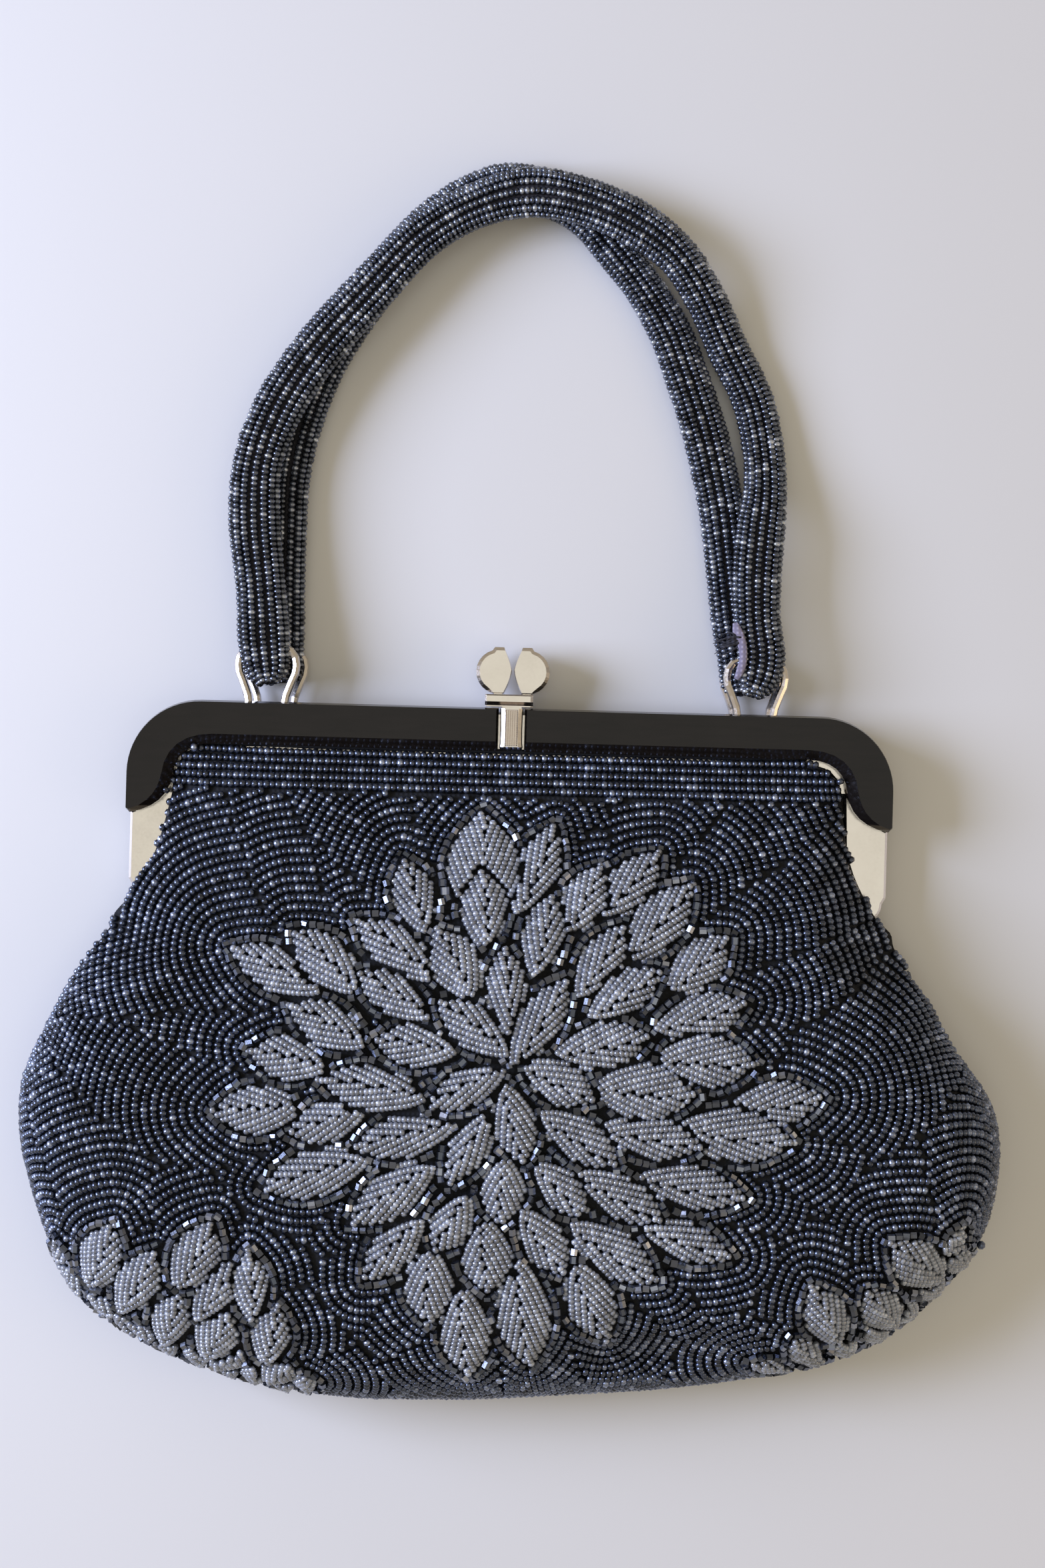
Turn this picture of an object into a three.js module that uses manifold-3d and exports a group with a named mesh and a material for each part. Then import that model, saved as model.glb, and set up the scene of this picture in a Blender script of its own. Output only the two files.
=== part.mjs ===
// A beaded evening handbag lying on its back: a puffed pouch on a hinged metal frame, dark frame
// covers, a kiss-lock clasp, wire handle loops and two beaded handle straps.
// Millimetres. +X to the right, +Y from the pouch towards the handle, +Z up from the table.

import * as THREE from 'three';
import { mergeVertices } from 'three/addons/utils/BufferGeometryUtils.js';
import Module from 'manifold-3d';

const wasm = await Module();
wasm.setup();

// Heights above the table
const MEETING_Z = 7.6;
const GAP = 0.3;
const PLATE = 1.8;
const COVER_TOP_Z = 15.2;

// Frame, measured from the top edge of the covers
const FRAME_HALF_WIDTH = 90.4;
const CORNER_RADIUS = 17.5;
const COVER_DEPTH = 10.2;
const COVER_SLOPE = 2.2;
const COVER_SLOPE_FALL = 2.6;
const COVER_EDGE = 0.5;
const SKIRT = 1.2;
const LEG_WIDTH = 10.8;
const LEG_INNER_X = FRAME_HALF_WIDTH - LEG_WIDTH;
const LEG_OUTER_X = FRAME_HALF_WIDTH - 0.6;
const LEG_BEVEL = 0.6;
const BEND_Y = -COVER_DEPTH - 7.8;
const HINGE = { x: FRAME_HALF_WIDTH - 5.9, y: -44, radius: 4.4, hole: 1.7, pin: 1.4 };
const RIM = 0.8;
const RIM_RISE = 0.7;

// Pouch
const WALL = 3;
const MOUTH_Y = -COVER_DEPTH - 1.5;
const MOUTH_HALF = LEG_INNER_X - 11.6;
const POUCH_CENTRE = [0, -88];
const SEAM_Z = 13;
const CROWN_Z = 31;
const BELLY = 5;
const RIM_FRONT = 27;
const RIM_BACK = 15;
const PUFF_TOP = 52;
const PUFF_SIDE = 20;
const PUFF_BACK = 18;

// Handle
const WIRE_RADIUS = 0.95;
const WIRE_SIDES = 8;
const STRAP_THICKNESS = 6.2;

// Where the origin goes: the middle of the bag's own length and width, on the table
const ORIGIN = [2.1, -15.9];

const nickel = new THREE.MeshStandardMaterial({ color: 0xd8cfc0, roughness: 0.15, metalness: 1 });
const cover = new THREE.MeshStandardMaterial({ color: 0x231f1d, roughness: 0.12, metalness: 0 });
const beading = new THREE.MeshStandardMaterial({ color: 0x39404f, roughness: 0.4, metalness: 0.3 });

// The cloth parts are drawn for a frame 90.4 wide from its middle and stretch across with it
function stretched(rows) {
  return rows.map((row) => ({ ...row, x: row.x * FRAME_HALF_WIDTH / 90.4 }));
}

// The open sides of the mouth, from the top corner down to the hinge, measured from the leg
const LEFT_SIDE = [
  { x: -MOUTH_HALF, y: MOUTH_Y }, { x: 5.8 - LEG_INNER_X, y: MOUTH_Y - 0.9 },
  { x: 2.6 - LEG_INNER_X, y: MOUTH_Y - 4.3 }, { x: 0.2 - LEG_INNER_X, y: MOUTH_Y - 10.8 },
  { x: -5.2 - LEG_INNER_X, y: -37 }, { x: -9.8 - LEG_INNER_X, y: -45.3 },
  { x: -13.4 - LEG_INNER_X, y: -51.5 },
];
const RIGHT_SIDE = [
  { x: LEG_INNER_X + 12, y: -52 }, { x: LEG_INNER_X + 8.4, y: -46.8 }, { x: LEG_INNER_X + 2, y: -35.5 },
  { x: LEG_INNER_X - 1.2, y: MOUTH_Y - 10.8 }, { x: LEG_INNER_X - 2.6, y: MOUTH_Y - 4.3 },
  { x: LEG_INNER_X - 5.8, y: MOUTH_Y - 0.9 },
  { x: MOUTH_HALF, y: MOUTH_Y },
];
// The pouch's outline from the left hinge round the bottom to the right hinge
const SEAM = [LEFT_SIDE.at(-1), ...stretched([
  { x: -99.9, y: -61.1 }, { x: -107.8, y: -77.3 }, { x: -112.6, y: -90 },
  { x: -112.8, y: -103 }, { x: -109.5, y: -116.4 }, { x: -104.6, y: -129 }, { x: -97, y: -140.5 },
  { x: -82, y: -150.4 }, { x: -62, y: -157.8 }, { x: -40, y: -162.2 }, { x: -10, y: -162.6 },
  { x: 17, y: -160.8 }, { x: 45, y: -158.2 }, { x: 70.6, y: -153.2 }, { x: 90.4, y: -145.1 },
  { x: 106, y: -131 }, { x: 114.1, y: -120.1 }, { x: 117.4, y: -104 }, { x: 115.6, y: -90.7 },
  { x: 106.4, y: -76.7 }, { x: 98.5, y: -62.5 },
]), RIGHT_SIDE[0]];
// Soft hollows in the front: middle, half sizes along x and y, and depth
const HOLLOWS = stretched([
  { x: 39, y: -151, rx: 20, ry: 7, depth: 9 },
  { x: 62, y: -30, rx: 9, ry: 22, depth: 3.5 },
  { x: -66, y: -34, rx: 9, ry: 18, depth: 2.5 },
]);

// Handle straps: the middle line's place, its height and the strap's width
const FRONT_STRAP = stretched([
  { x: -57.4, y: 4.6, z: 12, width: 8 }, { x: -57.8, y: 6.6, z: 12, width: 11.6 },
  { x: -58.7, y: 13, z: 12, width: 12.6 }, { x: -60.1, y: 27, z: 10.6, width: 12.2 },
  { x: -62.1, y: 43, z: 10, width: 12.8 }, { x: -61.6, y: 57, z: 9.9, width: 12.2 },
  { x: -57, y: 70, z: 9.8, width: 12.4 }, { x: -48.5, y: 83.5, z: 9.8, width: 12.2 },
  { x: -36.6, y: 97.5, z: 9.8, width: 12 }, { x: -24, y: 111.2, z: 9.8, width: 11.4 },
  { x: -12, y: 118.6, z: 9.8, width: 11.2 }, { x: 1, y: 122.2, z: 9.8, width: 12.4 },
  { x: 14, y: 120.4, z: 9.8, width: 11.8 }, { x: 26, y: 115.6, z: 9.8, width: 11.6 },
  { x: 35.6, y: 109, z: 9.2, width: 10.6 }, { x: 43, y: 99.4, z: 6.8, width: 10.2 },
  { x: 49.1, y: 87.7, z: 4.4, width: 10.4 }, { x: 55.6, y: 75.2, z: 3.6, width: 10.5 },
  { x: 58.4, y: 63, z: 4.4, width: 10.4 }, { x: 58.8, y: 53, z: 7, width: 10.8 },
  { x: 57.8, y: 44, z: 9.6, width: 11.9 }, { x: 57.1, y: 33, z: 10.2, width: 12 },
  { x: 57.3, y: 22.5, z: 11.2, width: 11.4 }, { x: 58.2, y: 13.4, z: 12, width: 12 },
  { x: 57.6, y: 7, z: 12, width: 11.4 }, { x: 57.2, y: 4.8, z: 12, width: 8 },
]);
const REAR_STRAP = stretched([
  { x: -56, y: 4.8, z: 3.3, width: 8 }, { x: -56.1, y: 6.8, z: 3.3, width: 11.4 },
  { x: -56, y: 15, z: 3.3, width: 12.1 }, { x: -56.2, y: 28.2, z: 3.2, width: 12.1 },
  { x: -56.2, y: 41.8, z: 3.2, width: 12.2 }, { x: -55.9, y: 54.4, z: 3.2, width: 12.6 },
  { x: -53.2, y: 68, z: 3.2, width: 12.8 }, { x: -47, y: 83, z: 3.2, width: 12 },
  { x: -34.6, y: 101.4, z: 3.2, width: 11 }, { x: -23.4, y: 114.8, z: 3.2, width: 11.3 },
  { x: -13.9, y: 122, z: 3.2, width: 11 }, { x: -4.6, y: 125.4, z: 3.2, width: 11.2 },
  { x: 5, y: 123.8, z: 3.2, width: 11.4 }, { x: 14.9, y: 118.2, z: 3.2, width: 10.6 },
  { x: 21.3, y: 111.1, z: 3.2, width: 10.4 }, { x: 28.5, y: 102.2, z: 3.2, width: 10 },
  { x: 35.1, y: 91.8, z: 3.2, width: 10.8 }, { x: 39.6, y: 80.8, z: 3.2, width: 11 },
  { x: 43.1, y: 71.2, z: 3.2, width: 11.3 }, { x: 45.9, y: 61.9, z: 3.2, width: 11.4 },
  { x: 48.8, y: 49.5, z: 3.2, width: 11.5 }, { x: 51, y: 35.6, z: 3.2, width: 11.7 },
  { x: 52.8, y: 22.4, z: 3.2, width: 11.8 }, { x: 54.6, y: 13.4, z: 3.3, width: 11.8 },
  { x: 55.6, y: 7, z: 3.3, width: 11.4 }, { x: 55.8, y: 4.8, z: 3.3, width: 8 },
]);
// One side of a handle loop, from the end of its leg to the middle of its bar
const LOOP_SIDE = [
  { x: 4.3, y: -2.2 }, { x: 4.3, y: 0.6 }, { x: 5.5, y: 4.2 }, { x: 6.8, y: 7.8 }, { x: 6.3, y: 11 },
  { x: 4, y: 12.8 },
];
const LOOPS = stretched([
  { name: 'loop_front_left', x: -57.9, z: 12 }, { name: 'loop_front_right', x: 57.4, z: 12 },
  { name: 'loop_back_left', x: -56.7, z: 3.3 }, { name: 'loop_back_right', x: 57.2, z: 3.3 },
]);

const bag = new THREE.Group();
bag.position.set(-ORIGIN[0], -ORIGIN[1], 0);

function clamp01(t) {
  return Math.min(1, Math.max(0, t));
}

function smooth(t) {
  const c = clamp01(t);
  return c * c * (3 - 2 * c);
}

// A quarter ellipse that starts upright and ends level
function dome(t) {
  return Math.sqrt(1 - (1 - clamp01(t)) ** 2);
}

function ease(t) {
  return Math.sin(clamp01(t) * Math.PI / 2);
}

function manifoldFrom(geometry) {
  const bare = geometry.clone();
  bare.deleteAttribute('normal');
  bare.deleteAttribute('uv');
  const merged = mergeVertices(bare, 1e-4);
  const mesh = new wasm.Mesh({
    numProp: 3,
    vertProperties: new Float32Array(merged.attributes.position.array),
    triVerts: new Uint32Array(merged.index.array),
  });
  return new wasm.Manifold(mesh);
}

function geometryFrom(solid) {
  const mesh = solid.getMesh();
  const geometry = new THREE.BufferGeometry();
  geometry.setAttribute('position', new THREE.Float32BufferAttribute(Array.from(mesh.vertProperties), 3));
  geometry.setIndex(Array.from(mesh.triVerts));
  geometry.computeVertexNormals();
  return geometry;
}

function add(name, solid, material) {
  const mesh = new THREE.Mesh(solid.isBufferGeometry ? solid : geometryFrom(solid), material);
  mesh.name = name;
  bag.add(mesh);
  return mesh;
}

// Turns rings of equally many points into a closed skin, with a fan over each end
function skin(rings) {
  const count = rings[0].length;
  const points = rings.flat();
  const last = rings.length - 1;
  const middle = (ring) => [0, 1, 2].map((k) => ring.reduce((sum, p) => sum + p[k], 0) / count);
  const faces = [];
  for (let i = 0; i < last; i++) {
    for (let j = 0; j < count; j++) {
      const a = i * count + j;
      const b = i * count + (j + 1) % count;
      faces.push(a, b, b + count, a, b + count, a + count);
    }
  }
  points.push(middle(rings[0]), middle(rings[last]));
  for (let j = 0; j < count; j++) {
    const next = (j + 1) % count;
    faces.push(points.length - 2, next, j, points.length - 1, last * count + j, last * count + next);
  }
  const geometry = new THREE.BufferGeometry();
  geometry.setAttribute('position', new THREE.Float32BufferAttribute(points.flat(), 3));
  geometry.setIndex(faces);
  return geometry;
}

function area(outline) {
  return THREE.ShapeUtils.area(outline);
}

// A counterclockwise outline moved inwards. The distance is a number, or a function that gives each
// edge's own from the middle of the edge.
function inset(outline, distance) {
  const count = outline.length;
  const reach = (a, b) => (typeof distance === 'function' ? distance(a.clone().lerp(b, 0.5)) : distance);
  return outline.map((p, i) => {
    const before = outline[(i + count - 1) % count];
    const after = outline[(i + 1) % count];
    const a = new THREE.Vector2().subVectors(p, before).normalize();
    const b = new THREE.Vector2().subVectors(after, p).normalize();
    const turn = a.cross(b);
    const first = reach(before, p);
    const second = reach(p, after);
    if (Math.abs(turn) > 0.5) {
      const move = b.clone().multiplyScalar(first).addScaledVector(a, -second);
      return p.clone().addScaledVector(move, 1 / turn);
    }
    const mid = new THREE.Vector2(-(a.y + b.y), a.x + b.x).normalize();
    const stretch = Math.max(0.5, mid.dot(new THREE.Vector2(-a.y, a.x)));
    return p.clone().addScaledVector(mid, (first + second) / 2 / stretch);
  });
}

// A flat-bottomed prism over an outline. Its top edge can be cut back by a bevel that falls by a height.
function prism(outline, low, high, bevel = 0, fall = bevel) {
  const ccw = area(outline) > 0 ? outline : outline.slice().reverse();
  const levels = bevel
    ? [[ccw, low], [ccw, high - fall], [inset(ccw, bevel), high]]
    : [[ccw, low], [ccw, high]];
  const count = ccw.length;
  const points = levels.flatMap(([ring, z]) => ring.map((p) => [p.x, p.y, z]));
  const faces = [];
  for (let i = 0; i < levels.length - 1; i++) {
    for (let j = 0; j < count; j++) {
      const a = i * count + j;
      const b = i * count + (j + 1) % count;
      faces.push(a, b, b + count, a, b + count, a + count);
    }
  }
  const top = (levels.length - 1) * count;
  for (const [a, b, c] of THREE.ShapeUtils.triangulateShape(ccw, [])) {
    faces.push(a, c, b, top + a, top + b, top + c);
  }
  const geometry = new THREE.BufferGeometry();
  geometry.setAttribute('position', new THREE.Float32BufferAttribute(points.flat(), 3));
  geometry.setIndex(faces);
  return manifoldFrom(geometry);
}

// The same piece turned over about the plane where the two frame halves meet
function turnedOver(solid) {
  return solid.mirror([0, 0, 1]).translate([0, 0, 2 * MEETING_Z]);
}

function rod(x, y, radius, low, high, sides = 12) {
  const geometry = new THREE.CylinderGeometry(radius, radius, high - low, sides);
  geometry.rotateX(Math.PI / 2);
  geometry.translate(x, y, (low + high) / 2);
  return manifoldFrom(geometry);
}

// The outer edge of one cover, from its tip up round the corner to the clasp, for the right side.
// A positive distance moves it inwards.
function coverOuter(distance = 0, end = 3.1) {
  const x = FRAME_HALF_WIDTH - distance;
  const radius = CORNER_RADIUS - distance;
  const path = new THREE.Path();
  path.moveTo(x, -26);
  path.lineTo(x, -CORNER_RADIUS);
  path.absarc(x - radius, -CORNER_RADIUS, radius, 0, Math.PI / 2, false);
  path.lineTo(end, -distance);
  return path.getPoints(8);
}

// The inner edge, from the clasp to the leg's inner side and round to the tip
function coverInner(distance = 0, end = 3.1) {
  const path = new THREE.Path();
  path.moveTo(end, -COVER_DEPTH - distance);
  path.lineTo(LEG_INNER_X - 9.6, -COVER_DEPTH - distance);
  path.quadraticCurveTo(
    LEG_INNER_X - 0.8 - distance, -COVER_DEPTH - 0.2 - distance, LEG_INNER_X - distance, BEND_Y,
  );
  return path.getPoints(6);
}

function coverTip() {
  const path = new THREE.Path();
  path.moveTo(LEG_INNER_X, BEND_Y);
  path.quadraticCurveTo(LEG_INNER_X + 1, -25.2, FRAME_HALF_WIDTH - 1, -26.9);
  return path.getPoints(6).slice(1);
}

function mirrored(outline) {
  return outline.map((p) => new THREE.Vector2(-p.x, p.y));
}

// How far a cover's top edge is cut back: a wide slope towards the pouch that narrows along the tip, and a
// thin one elsewhere
function coverCut(mid) {
  if (mid.y > -COVER_DEPTH + 0.1 || (mid.x > LEG_INNER_X + 8 && mid.y > -24)) {
    return COVER_EDGE;
  }
  const towardsTip = clamp01((mid.x - LEG_INNER_X - 1) / (LEG_WIDTH - 2.2));
  return COVER_SLOPE + (COVER_EDGE - COVER_SLOPE) * towardsTip;
}

function coverSolid(side, front) {
  const base = MEETING_Z + GAP / 2 + PLATE + GAP;
  const body = [...coverOuter(), ...coverInner(), ...coverTip()];
  const skirt = [...coverOuter(), ...coverOuter(SKIRT).reverse()];
  let solid = prism(body, base, COVER_TOP_Z, coverCut, COVER_SLOPE_FALL);
  solid = solid.add(prism(skirt, MEETING_Z + GAP / 2, base + 1));
  const loop = LOOPS.find((row) => Math.sign(row.x) === side && (row.z > MEETING_Z) === front);
  const z = front ? loop.z : 2 * MEETING_Z - loop.z;
  for (const leg of [-1, 1]) {
    const hole = new THREE.CylinderGeometry(WIRE_RADIUS + GAP, WIRE_RADIUS + GAP, 4, 8);
    hole.translate(Math.abs(loop.x) + leg * LOOP_SIDE[0].x, -0.6, z);
    solid = solid.subtract(manifoldFrom(hole));
  }
  return side < 0 ? solid.mirror([1, 0, 0]) : solid;
}

function framePlate() {
  const low = MEETING_Z + GAP / 2;
  const high = low + PLATE;
  const outer = coverOuter(SKIRT + GAP, 0);
  const leg = new THREE.Path();
  leg.moveTo(LEG_INNER_X - 0.4, BEND_Y);
  leg.lineTo(HINGE.x - HINGE.radius, HINGE.y);
  leg.absarc(HINGE.x, HINGE.y, HINGE.radius, Math.PI, 2 * Math.PI, false);
  leg.lineTo(LEG_OUTER_X, HINGE.y + 1.5);
  leg.lineTo(LEG_OUTER_X, -26.7);
  leg.lineTo(outer[0].x, -26.3);
  const inner = coverInner(GAP + RIM, 0);
  const half = [...outer.slice(0, -1), ...inner.slice(0, -1), ...leg.getPoints(8)];
  const solid = prism(half, low, high, LEG_BEVEL).add(prism(mirrored(half), low, high, LEG_BEVEL));
  const bridge = prism([
    new THREE.Vector2(-6, -SKIRT - GAP), new THREE.Vector2(6, -SKIRT - GAP),
    new THREE.Vector2(6, -COVER_DEPTH - GAP - RIM), new THREE.Vector2(-6, -COVER_DEPTH - GAP - RIM),
  ], low, high);
  const rimHalf = [...coverInner(GAP, -1), ...coverInner(GAP + RIM, -1).reverse()];
  const rimLow = high - LEG_BEVEL - 0.2;
  const rim = prism(rimHalf, rimLow, high + RIM_RISE).add(prism(mirrored(rimHalf), rimLow, high + RIM_RISE));
  let plate = solid.add(bridge).add(rim);
  for (const side of [-1, 1]) {
    plate = plate.subtract(rod(side * HINGE.x, HINGE.y, HINGE.hole, low - 1, high + 1));
  }
  return plate;
}

// Clasp of the front half; its knob stands left of the middle
const CLASP = {
  baseLeft: -6.4, baseRight: 4.95, backBaseLeft: -4.7, baseTop: 3.2, baseBottom: 1.5, baseFront: 12.6,
  footBottom: 0.35, footFront: 11.4, bevel: 0.35,
  strapFront: COVER_TOP_Z, strapFlank: 1.1,
  knobFront: 11.4, knobBottom: 3.5, knobRing: 0.8, knobEdge: 0.15, knobFall: 0.7,
};
// The clasp's strap between the covers, from its lower end up: place, half width and drop of its face
const CLASP_STRAP = [
  { y: 0.3 - COVER_DEPTH, half: 2.5, drop: 1.8 }, { y: 1 - COVER_DEPTH, half: 2.75, drop: 0 },
  { y: 2 - COVER_DEPTH, half: 2.62, drop: 0 }, { y: -COVER_DEPTH / 2, half: 2.55, drop: 0 },
  { y: -1.2, half: 2.62, drop: 0 }, { y: -0.2, half: 2.75, drop: 0 },
];

function knobOutline() {
  const shape = new THREE.Path();
  shape.moveTo(-4.6, CLASP.knobBottom);
  shape.lineTo(-2.1, CLASP.knobBottom);
  shape.quadraticCurveTo(-0.5, 6.6, -0.25, 9);
  shape.quadraticCurveTo(-0.6, 11.2, -2.2, 14.4);
  shape.lineTo(-4.4, 14.4);
  shape.absarc(-3.5, 8.6, 5.2, THREE.MathUtils.degToRad(106), THREE.MathUtils.degToRad(252), false);
  return shape.getPoints(5);
}

// A knob's face is flush with its side next to the other knob and set back from its outer side
function knobCut(mid) {
  const ring = mid.y > 14 || (mid.x < -3.6 && mid.y > CLASP.knobBottom + 0.3);
  return ring ? CLASP.knobRing : CLASP.knobEdge;
}

// The clasp's base: a bar with a slope down to a thin foot, and chamfered ends
function claspBase(left, low) {
  const { baseRight: right, baseTop, baseBottom, baseFront, footBottom, footFront, bevel } = CLASP;
  const section = (x, drop) => [
    [x, footBottom, low], [x, baseTop, low], [x, baseTop, baseFront - bevel - drop],
    [x, baseTop - bevel, baseFront - drop], [x, baseBottom, baseFront - drop],
    [x, footBottom + 0.25, footFront - drop], [x, footBottom, footFront - drop],
  ];
  return manifoldFrom(skin([
    section(left, bevel), section(left + bevel, 0), section(right - 0.6, 0), section(right, 0.6),
  ]));
}

function claspSolid(left) {
  const low = MEETING_Z + GAP / 2;
  const box = (x0, x1, y0, y1, z0, z1) => {
    const geometry = new THREE.BoxGeometry(x1 - x0, y1 - y0, z1 - z0);
    geometry.translate((x0 + x1) / 2, (y0 + y1) / 2, (z0 + z1) / 2);
    return manifoldFrom(geometry);
  };
  const knobHigh = prism(knobOutline(), MEETING_Z, CLASP.knobFront, knobCut, CLASP.knobFall);
  const face = turnedOver(knobHigh).add(knobHigh);
  const neck = box(-4.4, -2.4, CLASP.baseTop - 0.4, CLASP.knobBottom + 1, low, CLASP.knobFront - 1);
  const strapLow = low + PLATE + GAP;
  const strap = manifoldFrom(skin(CLASP_STRAP.map(({ y, half, drop }) => {
    const top = CLASP.strapFront - drop;
    const flat = half - CLASP.strapFlank;
    return [
      [half, y, strapLow], [-half, y, strapLow], [-half, y, top - 0.75], [0.25 - half, y, top - 0.35],
      [-flat, y, top], [flat, y, top], [half - 0.25, y, top - 0.35], [half, y, top - 0.75],
    ];
  })));
  const web = box(-2.3, 2.3, -1.2, CLASP.footBottom + 0.5, strapLow, CLASP.footFront - 0.2);
  return claspBase(left, low).add(neck).add(face).add(strap).add(web);
}

// A handle loop's wire, bent like the letter omega
function loopSolid({ x, z }, radius) {
  const right = LOOP_SIDE.map((p) => new THREE.Vector3(x + p.x, p.y, z));
  const left = LOOP_SIDE.map((p) => new THREE.Vector3(x - p.x, p.y, z)).reverse();
  const path = new THREE.CatmullRomCurve3([...right, ...left], false, 'centripetal');
  const circle = new THREE.Shape();
  circle.absarc(0, 0, radius, 0, 2 * Math.PI, false);
  const settings = { steps: 22, curveSegments: WIRE_SIDES / 2, extrudePath: path };
  return manifoldFrom(new THREE.ExtrudeGeometry(circle, settings));
}

// A strap is a flattened tube: each section is a rounded oblong across the middle line
function strapSolid(rows) {
  const sides = 10;
  const rings = rows.map((row, i) => {
    const before = rows[Math.max(0, i - 1)];
    const after = rows[Math.min(rows.length - 1, i + 1)];
    const along = new THREE.Vector2(after.x - before.x, after.y - before.y).normalize();
    const end = i === 0 || i === rows.length - 1;
    const thick = end ? STRAP_THICKNESS * 0.7 : STRAP_THICKNESS;
    return Array.from({ length: sides }, (_, j) => {
      const turn = 2 * Math.PI * j / sides;
      const across = Math.sign(Math.cos(turn)) * Math.abs(Math.cos(turn)) ** 0.85 * row.width / 2;
      const up = Math.sign(Math.sin(turn)) * Math.abs(Math.sin(turn)) ** 0.85 * thick / 2;
      return [row.x - along.y * across, row.y + along.x * across, row.z + up];
    });
  });
  return manifoldFrom(skin(rings));
}

// Distance from a point to the nearest place on an open line of points
function lineDistance(x, y, line) {
  let best = Infinity;
  for (let i = 0; i < line.length - 1; i++) {
    const a = line[i];
    const b = line[i + 1];
    const dx = b.x - a.x;
    const dy = b.y - a.y;
    const t = clamp01(((x - a.x) * dx + (y - a.y) * dy) / (dx * dx + dy * dy));
    best = Math.min(best, Math.hypot(x - a.x - t * dx, y - a.y - t * dy));
  }
  return best;
}

function curveThrough(rows, count) {
  const points = rows.map((row) => new THREE.Vector3(row.x, row.y, 0));
  return new THREE.CatmullRomCurve3(points, false, 'centripetal').getSpacedPoints(count);
}

const seamLine = curveThrough(SEAM, 48);
const leftLine = curveThrough(LEFT_SIDE, 7);
const rightLine = curveThrough(RIGHT_SIDE, 7);
const topLine = Array.from({ length: 7 }, (_, i) => new THREE.Vector3(MOUTH_HALF * (1 - i / 3), MOUTH_Y, 0));

// How far the front and back are apart at the edge: 1 along the mouth, 0 along the seam
function openness(y) {
  return smooth((y + 60) / 14);
}

function seamHeight(y) {
  return MEETING_Z + (SEAM_Z - MEETING_Z) * smooth((-50 - y) / 40);
}

function crownHeight(x, y) {
  return CROWN_Z + BELLY * Math.exp(-((x / 75) ** 2) - ((y + 92) / 48) ** 2);
}

// Heights of the pouch's front and back. The inner skin is a wall's thickness inside the outer one.
function pouchHeight(x, y, front, inner) {
  const wall = inner ? WALL : 0;
  const seam = Math.max(0, lineDistance(x, y, seamLine) - wall);
  const top = lineDistance(x, y, topLine);
  const side = Math.min(lineDistance(x, y, leftLine), lineDistance(x, y, rightLine));
  const beyond = y > MOUTH_Y ? 0 : 1;
  const open = openness(y);
  const meet = seamHeight(y);
  if (front) {
    const edgeOpen = MEETING_Z + GAP / 2 + PLATE + GAP + (inner ? 0 : WALL);
    const edge = meet + 0.25 + open * (edgeOpen - meet - 0.25);
    const rise = dome(seam / RIM_FRONT) * ease(top / PUFF_TOP) * ease(side / PUFF_SIDE) * beyond;
    let hollow = 0;
    for (const h of HOLLOWS) {
      hollow += h.depth * Math.exp(-(((x - h.x) / h.rx) ** 2) - ((y - h.y) / h.ry) ** 2);
    }
    return edge + (crownHeight(x, y) - hollow - wall - edge) * rise;
  }
  const edgeOpen = MEETING_Z - GAP / 2 - PLATE - GAP - (inner ? 0 : WALL);
  const edge = meet - 0.25 + open * (edgeOpen - meet + 0.25);
  const fall = dome(seam / RIM_BACK) * ease(top / PUFF_BACK) * ease(side / PUFF_BACK) * beyond;
  return edge * (1 - fall) + wall * fall;
}

// A closed skin of rings that shrink towards the middle, front and back
function pouchSkin(boundary, inner, frontRings, backRings) {
  const [cx, cy] = POUCH_CENTRE;
  const ring = (share, front) => boundary.map((p) => {
    const x = cx + (p.x - cx) * share;
    const y = cy + (p.y - cy) * share;
    return [x, y, pouchHeight(x, y, front, inner)];
  });
  const back = backRings.map((share) => ring(share, false)).reverse();
  const front = frontRings.map((share) => ring(share, true));
  return manifoldFrom(skin([...back, ...front]));
}

function pouchSolid() {
  const edge = [
    ...seamLine.slice(0, -1), ...rightLine.slice(0, -1), ...topLine.slice(0, -1), ...leftLine.slice(0, -1),
  ].map((p) => new THREE.Vector2(p.x, p.y));
  const inward = inset(edge, WALL);
  const outward = inset(edge, -3);
  const bore = edge.map((p, i) => {
    const open = smooth((p.y + 56) / 5);
    return inward[i].clone().lerp(outward[i], open);
  });
  const frontShares = [1, 0.985, 0.955, 0.91, 0.85, 0.77, 0.65, 0.48, 0.25];
  const outer = pouchSkin(edge, false, frontShares, [1, 0.97, 0.925, 0.86, 0.6]);
  const hollow = pouchSkin(bore, true, [1, 0.97, 0.92, 0.84, 0.7, 0.4], [1, 0.96, 0.9, 0.82]);
  return outer.subtract(hollow);
}

add('pouch', pouchSolid(), beading);

const frontPlate = framePlate();
add('frame_front', frontPlate, nickel);
add('frame_back', turnedOver(frontPlate), nickel);

add('cover_front_left', coverSolid(-1, true), cover);
add('cover_front_right', coverSolid(1, true), cover);
add('cover_back_left', turnedOver(coverSolid(-1, false)), cover);
add('cover_back_right', turnedOver(coverSolid(1, false)), cover);

add('clasp_front', claspSolid(CLASP.baseLeft), nickel);
add('clasp_back', turnedOver(claspSolid(CLASP.backBaseLeft).mirror([1, 0, 0])), nickel);

for (const side of [-1, 1]) {
  const name = side < 0 ? 'hinge_pin_left' : 'hinge_pin_right';
  const reach = PLATE + GAP / 2;
  const pin = rod(side * HINGE.x, HINGE.y, HINGE.pin, MEETING_Z - reach, MEETING_Z + reach);
  add(name, pin, nickel);
}

for (const loop of LOOPS) {
  add(loop.name, loopSolid(loop, WIRE_RADIUS), nickel);
}

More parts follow.
